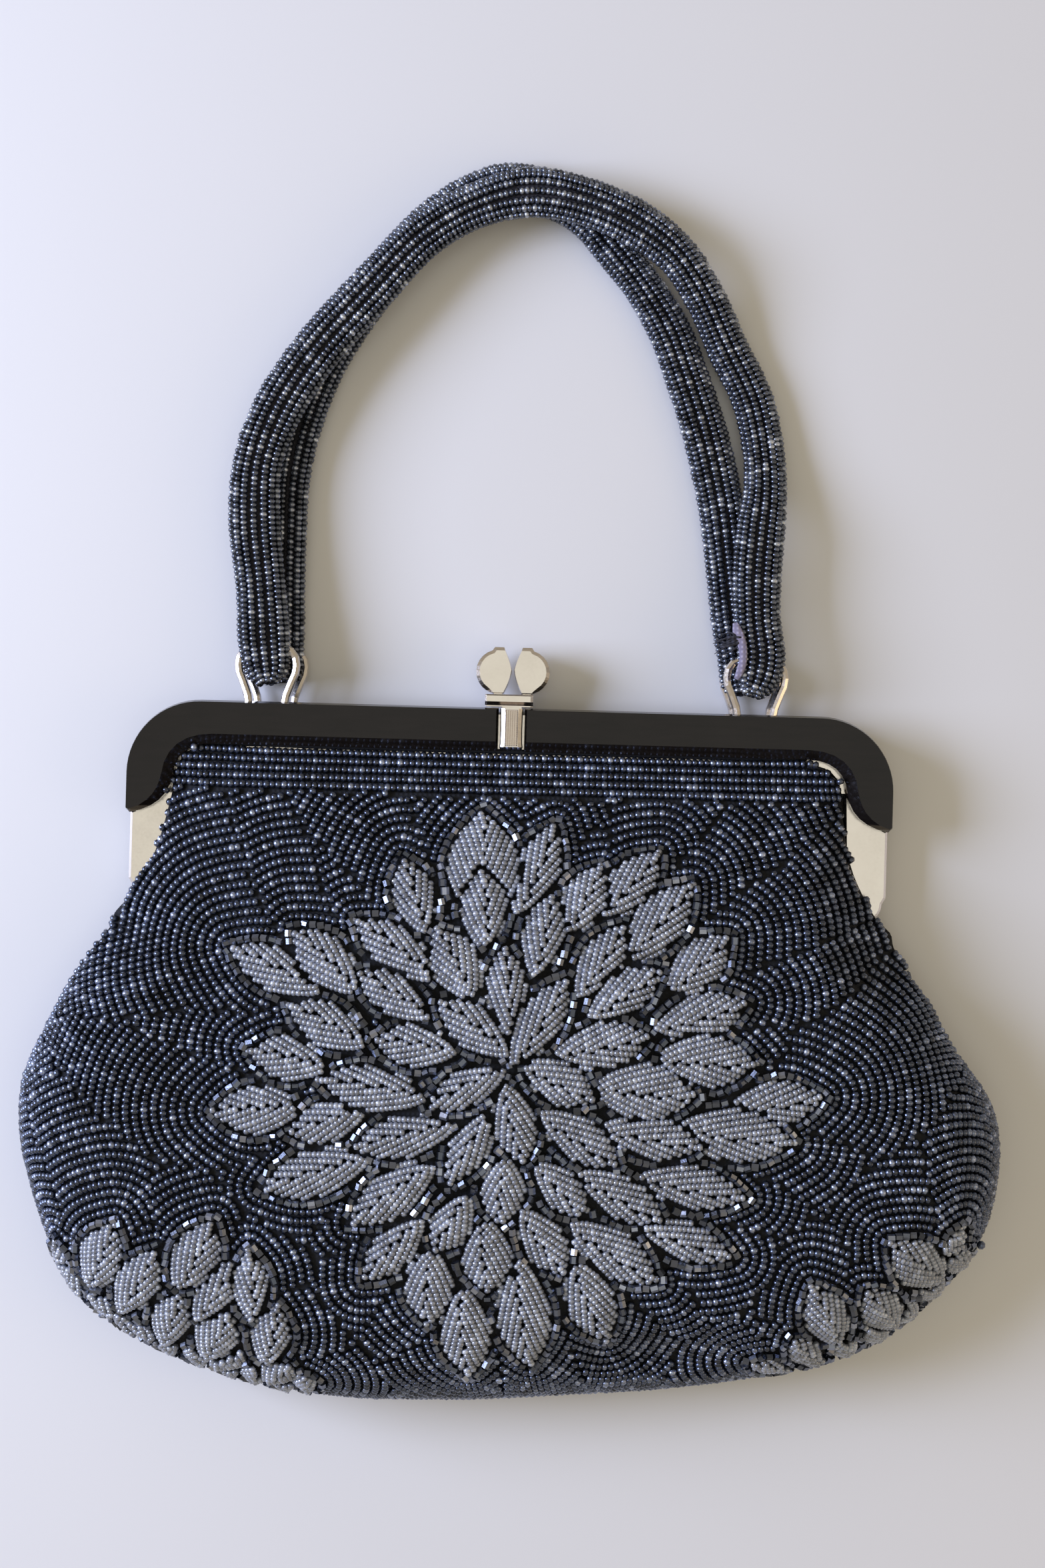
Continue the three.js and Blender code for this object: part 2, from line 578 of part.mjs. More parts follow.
function addStrap(name, rows, loops) {
  let strap = strapSolid(rows);
  for (const loop of loops) {
    strap = strap.subtract(loopSolid(loop, WIRE_RADIUS + GAP + 0.1));
  }
  add(name, strap, beading);
}

addStrap('strap_front', FRONT_STRAP, LOOPS.slice(0, 2));
addStrap('strap_back', REAR_STRAP, LOOPS.slice(2));

export default bag;
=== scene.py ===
"""A beaded evening handbag lying on its back on a pale table, seen from above.

The metal frame, its covers, the clasp and the handle loops keep the shapes of the fixed model and get
finishes here. The cloth of the pouch and the straps, and every bead sewn on them, are surfaces computed
here. All sizes are in millimetres: x runs to the right from the middle of the clasp, y from the covers'
top edge towards the handle, and z up from the table.
"""

import logging
import math
from dataclasses import dataclass, field
from enum import Enum
from typing import Any, Callable, Optional, Sequence, Union

import bpy
import numpy as np
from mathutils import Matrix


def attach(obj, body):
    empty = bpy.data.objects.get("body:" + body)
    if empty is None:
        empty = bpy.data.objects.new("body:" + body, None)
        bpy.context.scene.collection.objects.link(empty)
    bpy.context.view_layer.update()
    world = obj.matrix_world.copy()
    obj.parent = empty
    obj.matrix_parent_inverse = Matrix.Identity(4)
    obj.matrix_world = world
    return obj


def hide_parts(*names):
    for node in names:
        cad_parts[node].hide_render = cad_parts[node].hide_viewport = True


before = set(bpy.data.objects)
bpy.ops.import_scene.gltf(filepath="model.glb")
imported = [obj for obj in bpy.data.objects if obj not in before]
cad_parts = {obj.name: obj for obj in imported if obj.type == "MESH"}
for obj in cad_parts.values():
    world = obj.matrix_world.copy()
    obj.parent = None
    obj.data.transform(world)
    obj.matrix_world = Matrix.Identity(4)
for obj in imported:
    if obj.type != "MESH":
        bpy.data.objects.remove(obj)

logging.basicConfig(level=logging.INFO, format="%(name)s: %(message)s")
log = logging.getLogger("handbag")

Array = np.ndarray
Number = Union[int, float]
Colour = tuple[float, float, float]

# Where the model's own origin lies in the measuring frame described above
ORIGIN = np.array([2.1, -15.9, 0.0])
MM = 0.001
BODY = "root"
RANDOM_START = 11

# Points from one row of a curve's table to the next, and places that nearest works on at a time
CURVE_POINTS = 24
BLOCK = 3000


class Side(Enum):
    """The two sides of the pouch; the value is the way its outside faces along z."""

    FRONT = 1
    BACK = -1


class Slot(Enum):
    """The finish slots of the record; no piece here is given one."""

    BEADING = "beading"
    NICKEL = "nickel"


def unit(vectors: Array) -> Array:
    """Scales each vector to a length of one.

    Args:
        vectors: Any number of vectors, along the last axis.

    Returns:
        The vectors divided by their lengths.
    """
    return vectors / np.maximum(np.linalg.norm(vectors, axis=-1, keepdims=True), 1e-9)


def smooth(t: Array) -> Array:
    """Rises from 0 to 1 with level ends: three t squared less two t cubed.

    Args:
        t: Places along the rise, held between 0 and 1.

    Returns:
        The height at each place.
    """
    held = np.clip(t, 0.0, 1.0)
    return held * held * (3.0 - 2.0 * held)


def dome(t: Array) -> Array:
    """A quarter ellipse that starts upright and ends level.

    Args:
        t: Places along the run, held between 0 and 1.

    Returns:
        The height, the square root of one less (1 - t) squared.
    """
    return np.sqrt(1.0 - (1.0 - np.clip(t, 0.0, 1.0)) ** 2)


def ease(t: Array) -> Array:
    """A quarter of a sine wave, from 0 to 1.

    Args:
        t: Places along the run, held between 0 and 1.

    Returns:
        The sine of t quarter turns.
    """
    return np.sin(np.clip(t, 0.0, 1.0) * np.pi / 2.0)


def lengths_of(line: Array) -> Array:
    """Lengths along a line to each of its points.

    Args:
        line: Points of the line; the first three columns or fewer are its place.

    Returns:
        The lengths, from zero on.
    """
    steps = np.linalg.norm(np.diff(line[:, :3], axis=0), axis=1)
    return np.concatenate([[0.0], np.cumsum(steps)])


def read_at(wanted: Array, lengths: Array, table: Array) -> Array:
    """Reads every column of a table between its rows.

    Args:
        wanted: Lengths along the line.
        lengths: The length at each row.
        table: The rows.

    Returns:
        A row for each wanted length.
    """
    return np.stack([np.interp(wanted, lengths, column) for column in table.T], axis=1)


def resampled(line: Array, spacing: float) -> Array:
    """Cuts a line into equal steps.

    Args:
        line: Points of the line; the first three columns or fewer are its place, any others go along.
        spacing: Wanted step.

    Returns:
        Points a whole number of equal steps apart, with the line's own ends.
    """
    lengths = lengths_of(line)
    count = max(2, int(round(lengths[-1] / spacing)) + 1)
    return read_at(np.linspace(0.0, lengths[-1], count), lengths, line)


def spline(rows: Sequence[Sequence[float]], spacing: float) -> Array:
    """Runs a centripetal curve through rows of numbers.

    Each row's slope is the mean of the slopes on its two sides, each weighted by the other side's step,
    and a step is the square root of the distance between two rows. Cubics with those slopes join the
    rows.

    Args:
        rows: The table; the first three columns or fewer are a place.
        spacing: Step between the points of the result.

    Returns:
        Evenly spaced points with the same columns as the table.
    """
    table = np.asarray(rows, float)
    steps = np.sqrt(np.linalg.norm(np.diff(table[:, :3], axis=0), axis=1))[:, None]
    slopes = np.diff(table, axis=0) / steps
    inner = (steps[1:] * slopes[:-1] + steps[:-1] * slopes[1:]) / (steps[1:] + steps[:-1])
    slopes = np.vstack([slopes[:1], inner, slopes[-1:]])
    t = np.linspace(0.0, 1.0, CURVE_POINTS, endpoint=False)[None, :, None]
    start, end = table[:-1, None], table[1:, None]
    leaving, arriving = slopes[:-1, None] * steps[:, None], slopes[1:, None] * steps[:, None]
    dense = start * (2 * t**3 - 3 * t**2 + 1) + end * (3 * t**2 - 2 * t**3)
    dense = dense + leaving * (t**3 - 2 * t**2 + t) + arriving * (t**3 - t**2)
    return resampled(np.vstack([dense.reshape(-1, table.shape[1]), table[-1:]]), spacing)


@dataclass
class Nearest:
    """Where some points are closest to a line."""

    gap: Array
    place: Array
    left: Array
    reach: Array


def nearest(points: Array, line: Array) -> Nearest:
    """Finds the nearest place of a line to each point.

    Args:
        points: Points in the plane.
        line: The line's own points, in order.

    Returns:
        The distances, the places, the directions to the line's left there, and the lengths along the
        line.
    """
    start, along = line[:-1], np.diff(line, axis=0)
    size = np.linalg.norm(along, axis=1)
    begun = np.concatenate([[0.0], np.cumsum(size)[:-1]])
    left = np.stack([-along[:, 1], along[:, 0]], axis=1) / size[:, None]
    found = []
    for block in np.array_split(points, max(1, len(points) // BLOCK)):
        share = np.clip(((block[:, None] - start) * along).sum(axis=2) / size**2, 0.0, 1.0)
        reached = start + share[..., None] * along
        apart = np.linalg.norm(block[:, None] - reached, axis=2)
        best = apart.argmin(axis=1)
        rows = np.arange(len(block))
        reach = begun[best] + share[rows, best] * size[best]
        found.append(np.column_stack([apart[rows, best], reached[rows, best], left[best], reach]))
    table = np.concatenate(found)
    return Nearest(table[:, 0], table[:, 1:3], table[:, 3:5], table[:, 5])


def inside(points: Array, outline: Array) -> Array:
    """Says which points lie inside a closed outline, by counting the edges crossed on the way out.

    Args:
        points: Points in the plane.
        outline: The outline's corners, in order.

    Returns:
        True for each point inside.
    """
    x, y = points[:, 0:1], points[:, 1:2]
    following = np.roll(outline, -1, axis=0)
    straddles = (outline[:, 1] > y) != (following[:, 1] > y)
    rise = following[:, 1] - outline[:, 1]
    rise = np.where(np.abs(rise) < 1e-12, 1e-12, rise)
    crossing = outline[:, 0] + (following[:, 0] - outline[:, 0]) * (y - outline[:, 1]) / rise
    return (straddles & (x < crossing)).sum(axis=1) % 2 == 1


def show(piece: bpy.types.Object, replaced: Sequence[str] = ()) -> bpy.types.Object:
    """Puts a finished piece on the bag.

    Args:
        piece: The object, in place.
        replaced: Nodes of the fixed model that it stands for.

    Returns:
        The same object.
    """
    bpy.context.scene.collection.objects.link(piece)
    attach(piece, BODY)
    if replaced:
        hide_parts(*replaced)
    return piece


def mesh_piece(
    name: str,
    points: Array,
    corners: Array,
    totals: Array,
    material: bpy.types.Material,
    rounded: bool = True,
    shade: Optional[Array] = None,
) -> bpy.types.Object:
    """Makes an object from whole arrays.

    Args:
        name: The piece's name.
        points: Points in millimetres in the measuring frame.
        corners: The point of each face corner, face after face.
        totals: How many corners each face has.
        material: Its finish.
        rounded: Whether the faces are shaded as one smooth surface.
        shade: A number from 0 to 1 for each point, which the finish reads.

    Returns:
        The object, with its own origin at the model's.
    """
    mesh = bpy.data.meshes.new(name)
    mesh.vertices.add(len(points))
    mesh.vertices.foreach_set("co", ((points - ORIGIN) * MM).astype(np.float32).ravel())
    mesh.loops.add(len(corners))
    mesh.loops.foreach_set("vertex_index", corners.astype(np.int32))
    mesh.polygons.add(len(totals))
    starts = np.concatenate([[0], np.cumsum(totals)[:-1]]).astype(np.int32)
    mesh.polygons.foreach_set("loop_start", starts)
    mesh.polygons.foreach_set("use_smooth", np.full(len(totals), rounded))
    mesh.update(calc_edges=True)
    if shade is not None:
        layer = mesh.attributes.new("shade", "FLOAT", "POINT")
        layer.data.foreach_set("value", shade.astype(np.float32))
    mesh.materials.append(material)
    log.info("%s has %d points and %d faces", name, len(points), len(totals))
    return bpy.data.objects.new(name, mesh)


def listed(*groups: Array) -> tuple[Array, Array]:
    """Lists faces of several kinds one after another.

    Args:
        *groups: The faces of each kind, with as many columns as they have corners.

    Returns:
        The corners of all the faces, and how many corners each face has.
    """
    corners = np.concatenate([faces.ravel() for faces in groups])
    totals = np.concatenate([np.full(len(faces), faces.shape[1]) for faces in groups])
    return corners, totals


def joined(parts: Sequence[tuple[Array, Array, Array]]) -> tuple[Array, Array, Array]:
    """Puts several surfaces into one.

    Args:
        parts: The points, corners and totals of each.

    Returns:
        The points, corners and totals of them all.
    """
    points, corners, totals = zip(*parts)
    begun = np.concatenate([[0], np.cumsum([len(own) for own in points])[:-1]])
    shifted = [own + start for own, start in zip(corners, begun)]
    return np.vstack(points), np.concatenate(shifted), np.concatenate(totals)


class Value:
    """A number, colour or vector that comes out of a shader node, with arithmetic that adds nodes."""

    def __init__(self, graph: "Graph", socket: bpy.types.NodeSocket) -> None:
        """Keeps the socket and the graph that it is in."""
        self.graph = graph
        self.socket = socket

    def _with(self, operation: str, other: Union["Value", Number]) -> "Value":
        """Adds a Math node that takes this value and another."""
        return self.graph.node("ShaderNodeMath", {0: self, 1: other}, operation=operation)

    def __add__(self, other: Union["Value", Number]) -> "Value":
        """The sum."""
        return self._with("ADD", other)

    def __mul__(self, other: Union["Value", Number]) -> "Value":
        """The product."""
        return self._with("MULTIPLY", other)

    # Sums and products don't depend on the order
    __radd__ = __add__
    __rmul__ = __mul__


class Graph:
    """One material and the nodes in it."""

    def __init__(self, name: str) -> None:
        """Makes an empty material."""
        self.material = bpy.data.materials.new(name)
        self.material.use_nodes = True
        self.tree = self.material.node_tree
        self.tree.nodes.clear()

    def node(
        self,
        kind: str,
        inputs: Optional[dict[Union[int, str], Any]] = None,
        output: Union[int, str] = 0,
        **settings: Any,
    ) -> Value:
        """Adds a node.

        Args:
            kind: The node's type.
            inputs: Values or constants by socket name or number.
            output: The socket that the result comes from.
            **settings: Properties of the node, which are set first.

        Returns:
            What comes out of it.
        """
        made = self.tree.nodes.new(kind)
        for key, setting in settings.items():
            setattr(made, key, setting)
        for key, given in (inputs or {}).items():
            if isinstance(given, Value):
                self.tree.links.new(given.socket, made.inputs[key])
            else:
                made.inputs[key].default_value = given
        return Value(self, made.outputs[output])

    def place(self) -> Value:
        """The point's place in the piece's own axes, in metres."""
        return self.node("ShaderNodeTexCoord", output="Object")

    def noise(self, scale: float, detail: float = 2.0, place: Optional[Value] = None) -> Value:
        """A cloudy number from 0 to 1.

        Args:
            scale: Clouds to the metre.
            detail: How many finer layers it has.
            place: Where it is read, or the point's own place.

        Returns:
            The number.
        """
        inputs = {"Vector": place or self.place(), "Scale": scale, "Detail": detail}
        return self.node("ShaderNodeTexNoise", inputs, output="Fac")

    def attribute(self, name: str) -> Value:
        """A number that the mesh carries at each point."""
        return self.node("ShaderNodeAttribute", output="Fac", attribute_name=name)

    def ramp(self, value: Value, low: float, high: float, to_low: float, to_high: float) -> Value:
        """Carries one range of numbers over to another and holds it there."""
        inputs = {0: value, 1: low, 2: high, 3: to_low, 4: to_high}
        return self.node("ShaderNodeMapRange", inputs, clamp=True)

    def mix(
        self, share: Union[Value, Number], first: Union[Value, Colour], second: Union[Value, Colour]
    ) -> Value:
        """Blends two colours.

        Args:
            share: 0 for the first and 1 for the second.
            first: A colour.
            second: A colour.

        Returns:
            The colour between them.
        """
        first = first if isinstance(first, Value) else (*first, 1.0)
        second = second if isinstance(second, Value) else (*second, 1.0)
        return self.node("ShaderNodeMix", {0: share, 6: first, 7: second}, output=2, data_type="RGBA")

    def bump(self, height: Value, depth: float, strength: float = 1.0) -> Value:
        """Turns a height from 0 to 1 into a surface normal.

        Args:
            height: The height.
            depth: What a height of 1 stands for, in metres.
            strength: How strongly it shows.

        Returns:
            The normal.
        """
        inputs = {"Height": height, "Distance": depth, "Strength": strength}
        return self.node("ShaderNodeBump", inputs, output="Normal")

    def surface(self, **inputs: Any) -> bpy.types.Material:
        """Ends the material with a principled surface.

        Args:
            **inputs: Its inputs, with underscores for the spaces in their names.

        Returns:
            The finished material.
        """
        named = {key.replace("_", " "): value for key, value in inputs.items()}
        shader = self.node("ShaderNodeBsdfPrincipled", named, output="BSDF")
        end = self.tree.nodes.new("ShaderNodeOutputMaterial")
        self.tree.links.new(shader.socket, end.inputs["Surface"])
        return self.material


@dataclass(frozen=True)
class BeadFinish:
    """Glass beads, where each bead has its own shade between a dark and a light colour."""

    name: str
    dark: Colour
    middle: Colour
    light: Colour
    metallic: float
    rough: tuple[float, float]
    coat: float
    coat_rough: float = 0.15
    grain: float = 0.00003

    def material(self) -> bpy.types.Material:
        """Makes the finish.

        Returns:
            A material that reads each bead's shade.
        """
        graph = Graph(self.name)
        shade = graph.attribute("shade")
        lower = graph.mix(graph.ramp(shade, 0.0, 0.55, 0.0, 1.0), self.dark, self.middle)
        colour = graph.mix(graph.ramp(shade, 0.6, 1.0, 0.0, 1.0), lower, self.light)
        # Painted iris sheen: cloudy patches about 17 mm across darken the beads up to 0.35 of the way to
        # the dark colour, standing in for how the coating catches light
        cloud = graph.noise(60.0, 3.0)
        painted_sheen = graph.mix(graph.ramp(cloud, 0.35, 0.75, 0.0, 0.35), colour, self.dark)
        fine = graph.noise(2400.0, 3.0)
        roughness = graph.ramp(fine * 0.6 + shade * 0.4, 0.2, 0.8, self.rough[0], self.rough[1])
        return graph.surface(
            Base_Color=painted_sheen,
            Metallic=self.metallic,
            Roughness=roughness,
            Coat_Weight=self.coat,
            Coat_Roughness=self.coat_rough,
            Normal=graph.bump(fine, self.grain),
        )


@dataclass(frozen=True)
class ClothFinish:
    """Woven backing cloth."""

    name: str
    dark: Colour
    light: Colour
    scale: float = 1700.0 / 6.0
    depth: float = 0.0001

    def material(self) -> bpy.types.Material:
        """Makes the finish.

        Returns:
            A rough material with the bumps of a plain weave: two sets of waves, across and along.
        """
        graph = Graph(self.name)
        inputs = {"Vector": graph.place(), "Scale": self.scale, "Distortion": 0.6}
        across = graph.node("ShaderNodeTexWave", inputs, output="Fac", bands_direction="X")
        along = graph.node("ShaderNodeTexWave", inputs, output="Fac", bands_direction="Y")
        weave = across * along
        cloud = graph.noise(90.0, 3.0)
        share = graph.ramp(weave * 0.5 + cloud * 0.5, 0.2, 0.8, 0.0, 1.0)
        colour = graph.mix(share, self.dark, self.light)
        return graph.surface(
            Base_Color=colour,
            Roughness=graph.ramp(cloud, 0.3, 0.7, 0.75, 0.95),
            Normal=graph.bump(weave, self.depth),
        )


@dataclass(frozen=True)
class NickelFinish:
    """Polished plate with faint wear."""

    name: str = "polished_nickel"
    bright: Colour = (0.80, 0.745, 0.70)
    dull: Colour = (0.60, 0.54, 0.49)
    grain: float = 0.000012

    def material(self) -> bpy.types.Material:
        """Makes the finish.

        Returns:
            A metal whose tint and gloss drift a little.
        """
        graph = Graph(self.name)
        cloud = graph.noise(110.0, 4.0)
        fine = graph.noise(1500.0, 3.0)
        colour = graph.mix(graph.ramp(cloud, 0.35, 0.7, 0.0, 0.2), self.bright, self.dull)
        return graph.surface(
            Base_Color=colour,
            Metallic=1.0,
            Roughness=graph.ramp(fine * 0.5 + cloud * 0.5, 0.3, 0.7, 0.1, 0.26),
            Normal=graph.bump(fine, self.grain),
        )


@dataclass(frozen=True)
class CoverFinish:
    """Glossy black-brown covers with a faint grain along them."""

    name: str = "glossy_cover"
    dark: Colour = (0.008, 0.0065, 0.006)
    light: Colour = (0.012, 0.0095, 0.0085)
    stretch: tuple[float, float, float] = (0.15, 1.0, 1.0)
    grain: float = 0.000006

    def material(self) -> bpy.types.Material:
        """Makes the finish.

        Returns:
            A dark plastic under a clear coat.
        """
        graph = Graph(self.name)
        inputs = {"Vector": graph.place(), "Scale": self.stretch}
        stretched = graph.node("ShaderNodeMapping", inputs, output="Vector")
        streak = graph.noise(900.0, 4.0, stretched)
        cloud = graph.noise(70.0, 2.0)
        share = graph.ramp(streak * 0.6 + cloud * 0.4, 0.35, 0.7, 0.0, 1.0)
        colour = graph.mix(share, self.dark, self.light)
        return graph.surface(
            Base_Color=colour,
            Roughness=graph.ramp(streak, 0.3, 0.7, 0.1, 0.2),
            Specular_IOR_Level=0.25,
            Coat_Weight=0.06,
            Coat_Roughness=0.05,
            Normal=graph.bump(streak, self.grain),
        )


@dataclass(frozen=True)
class TableFinish:
    """Pale matt table top with faint clouds."""

    name: str = "pale_table"
    dark: Colour = (0.70, 0.70, 0.705)
    light: Colour = (0.735, 0.735, 0.74)
    grain: float = 0.00001

    def material(self) -> bpy.types.Material:
        """Makes the finish.

        Returns:
            A rough surface whose grey drifts a little.
        """
        graph = Graph(self.name)
        cloud = graph.noise(3.0, 3.0)
        return graph.surface(
            Base_Color=graph.mix(cloud, self.dark, self.light),
            Roughness=graph.ramp(cloud, 0.3, 0.7, 0.5, 0.6),
            Normal=graph.bump(graph.noise(700.0), self.grain),
        )


@dataclass
class Finishes:
    """Every material of the bag, made once."""

    seed: bpy.types.Material = field(init=False)
    handle: bpy.types.Material = field(init=False)
    pearl: bpy.types.Material = field(init=False)
    cut: bpy.types.Material = field(init=False)
    cloth: bpy.types.Material = field(init=False)
    strap: bpy.types.Material = field(init=False)
    nickel: bpy.types.Material = field(init=False)
    cover: bpy.types.Material = field(init=False)
    tape: bpy.types.Material = field(init=False)
    thread: bpy.types.Material = field(init=False)

    def __post_init__(self) -> None:
        """Makes each finish's material."""
        self.seed = BeadFinish(
            name="blue_iris_seed_bead",
            dark=(0.034, 0.040, 0.058),
            middle=(0.096, 0.120, 0.190),
            light=(0.48, 0.55, 0.75),
            metallic=0.9,
            rough=(0.22, 0.34),
            coat=0.7,
        ).material()
        self.handle = BeadFinish(
            name="gunmetal_seed_bead",
            dark=(0.045, 0.051, 0.068),
            middle=(0.165, 0.188, 0.248),
            light=(0.72, 0.77, 0.88),
            metallic=0.9,
            rough=(0.23, 0.34),
            coat=0.7,
        ).material()
        self.pearl = BeadFinish(
            name="pearl_grey_bead",
            dark=(0.17, 0.18, 0.21),
            middle=(0.335, 0.362, 0.43),
            light=(0.62, 0.67, 0.78),
            metallic=0.35,
            rough=(0.17, 0.27),
            coat=1.0,
        ).material()
        self.cut = BeadFinish(
            name="gunmetal_cut_bead",
            dark=(0.050, 0.058, 0.078),
            middle=(0.17, 0.19, 0.245),
            light=(0.56, 0.60, 0.72),
            metallic=0.9,
            rough=(0.22, 0.36),
            coat=0.3,
        ).material()
        self.cloth = ClothFinish(
            name="navy_backing_cloth",
            dark=(0.002, 0.0025, 0.004),
            light=(0.008, 0.009, 0.014),
        ).material()
        self.strap = ClothFinish(
            name="purple_grey_strap_cloth",
            dark=(0.008, 0.007, 0.011),
            light=(0.035, 0.031, 0.042),
        ).material()
        self.tape = ClothFinish(
            name="lavender_tape",
            dark=(0.20, 0.18, 0.27),
            light=(0.42, 0.39, 0.52),
        ).material()
        self.thread = ClothFinish(
            name="dark_thread",
            dark=(0.012, 0.012, 0.016),
            light=(0.05, 0.05, 0.07),
        ).material()
        self.nickel = NickelFinish().material()
        self.cover = CoverFinish().material()


@dataclass(frozen=True)
class BeadForm:
    """The shape of one bead about the x axis; with a dimple, each end has a hollow where its hole is."""

    length: float
    radius: float
    sides: int
    neck: float = 0.62
    bulges: bool = True
    dimple: float = 0.0

    def template(self) -> tuple[Array, Array, Array]:
        """Makes one bead.

        Rings of equally many points stand at the ends, and at the middle if the bead bulges. Each
        ring's point j is at the ring's radius times the cosine and sine of j turns over the count.

        Returns:
            The points, the corners of the faces, and how many corners each face has.
        """
        share = np.array([-0.5, 0.0, 0.5] if self.bulges else [-0.5, 0.5])
        radii = np.array([self.neck, 1.0, self.neck] if self.bulges else [1.0, 1.0]) * self.radius
        turn = 2.0 * np.pi * np.arange(self.sides) / self.sides
        rings = np.stack(
            [
                np.broadcast_to(share[:, None] * self.length, (len(share), self.sides)),
                radii[:, None] * np.cos(turn),
                radii[:, None] * np.sin(turn),
            ],
            axis=2,
        ).reshape(-1, 3)
        here = np.arange(self.sides)
        following = (here + 1) % self.sides
        band = np.stack([here + self.sides, following + self.sides, following, here], axis=1)
        quads = np.concatenate([band + self.sides * k for k in range(len(share) - 1)])
        last = self.sides * (len(share) - 1)
        if self.dimple:
            depth = self.length / 2.0 - self.dimple
            middles = np.array([[-depth, 0.0, 0.0], [depth, 0.0, 0.0]])
            first = np.full(self.sides, len(rings))
            low = np.stack([first, here, following], axis=1)
            high = np.stack([first + 1, following + last, here + last], axis=1)
            return np.vstack([rings, middles]), *listed(quads, low, high)
        return rings, *listed(quads, here[None], (here + last)[None, ::-1])


@dataclass
class BeadRun:
    """Beads to be sewn on: where each one is, which way its hole points, and the way out of the cloth."""

    middles: Array
    along: Array
    outward: Array

    # Smallest and largest size of a bead, and the two powers of the beta spread of their shades
    SIZES = (0.85, 1.15)
    SHADES = (2.2, 2.6)

    def chosen(self, mask: Array) -> "BeadRun":
        """Keeps the beads of a mask."""
        return BeadRun(self.middles[mask], self.along[mask], self.outward[mask])

    def piece(
        self,
        name: str,
        form: BeadForm,
        material: bpy.types.Material,
        random: np.random.Generator,
        tilt: float = 0.07,
        uneven: float = 0.05,
        rounded: bool = True,
    ) -> bpy.types.Object:
        """Copies one bead to every place.

        A bead's point (x, y, z) goes to its middle plus x along the hole, y to the side and z outward,
        each times the bead's own size. The hole leans by a small random amount, and the bead is turned
        about it.

        Args:
            name: The piece's name.
            form: The bead.
            material: Its finish.
            random: Where the unevenness comes from.
            tilt: How far the hole leans, as a slope.
            uneven: How much the sizes differ.
            rounded: Whether it is shaded smooth.

        Returns:
            One object with all the beads, closed and facing outward.
        """
        points, corners, totals = form.template()
        count = len(self.middles)
        along = unit(self.along + random.normal(0.0, tilt, (count, 3)))
        beside = unit(np.cross(self.outward, along))
        outward = np.cross(along, beside)
        turn = random.uniform(0.0, 2.0 * np.pi, count)[:, None]
        first = beside * np.cos(turn) + outward * np.sin(turn)
        second = outward * np.cos(turn) - beside * np.sin(turn)
        size = (1.0 + random.normal(0.0, uneven, count)).clip(*self.SIZES)[:, None, None]
        shape = (
            points[None, :, 0:1] * along[:, None]
            + points[None, :, 1:2] * first[:, None]
            + points[None, :, 2:3] * second[:, None]
        )
        placed = (self.middles[:, None] + shape * size).reshape(-1, 3)
        shifted = corners[None] + (np.arange(count) * len(points))[:, None]
        shade = np.repeat(random.beta(*self.SHADES, count), len(points))
        return mesh_piece(name, placed, shifted.ravel(), np.tile(totals, count), material, rounded, shade)


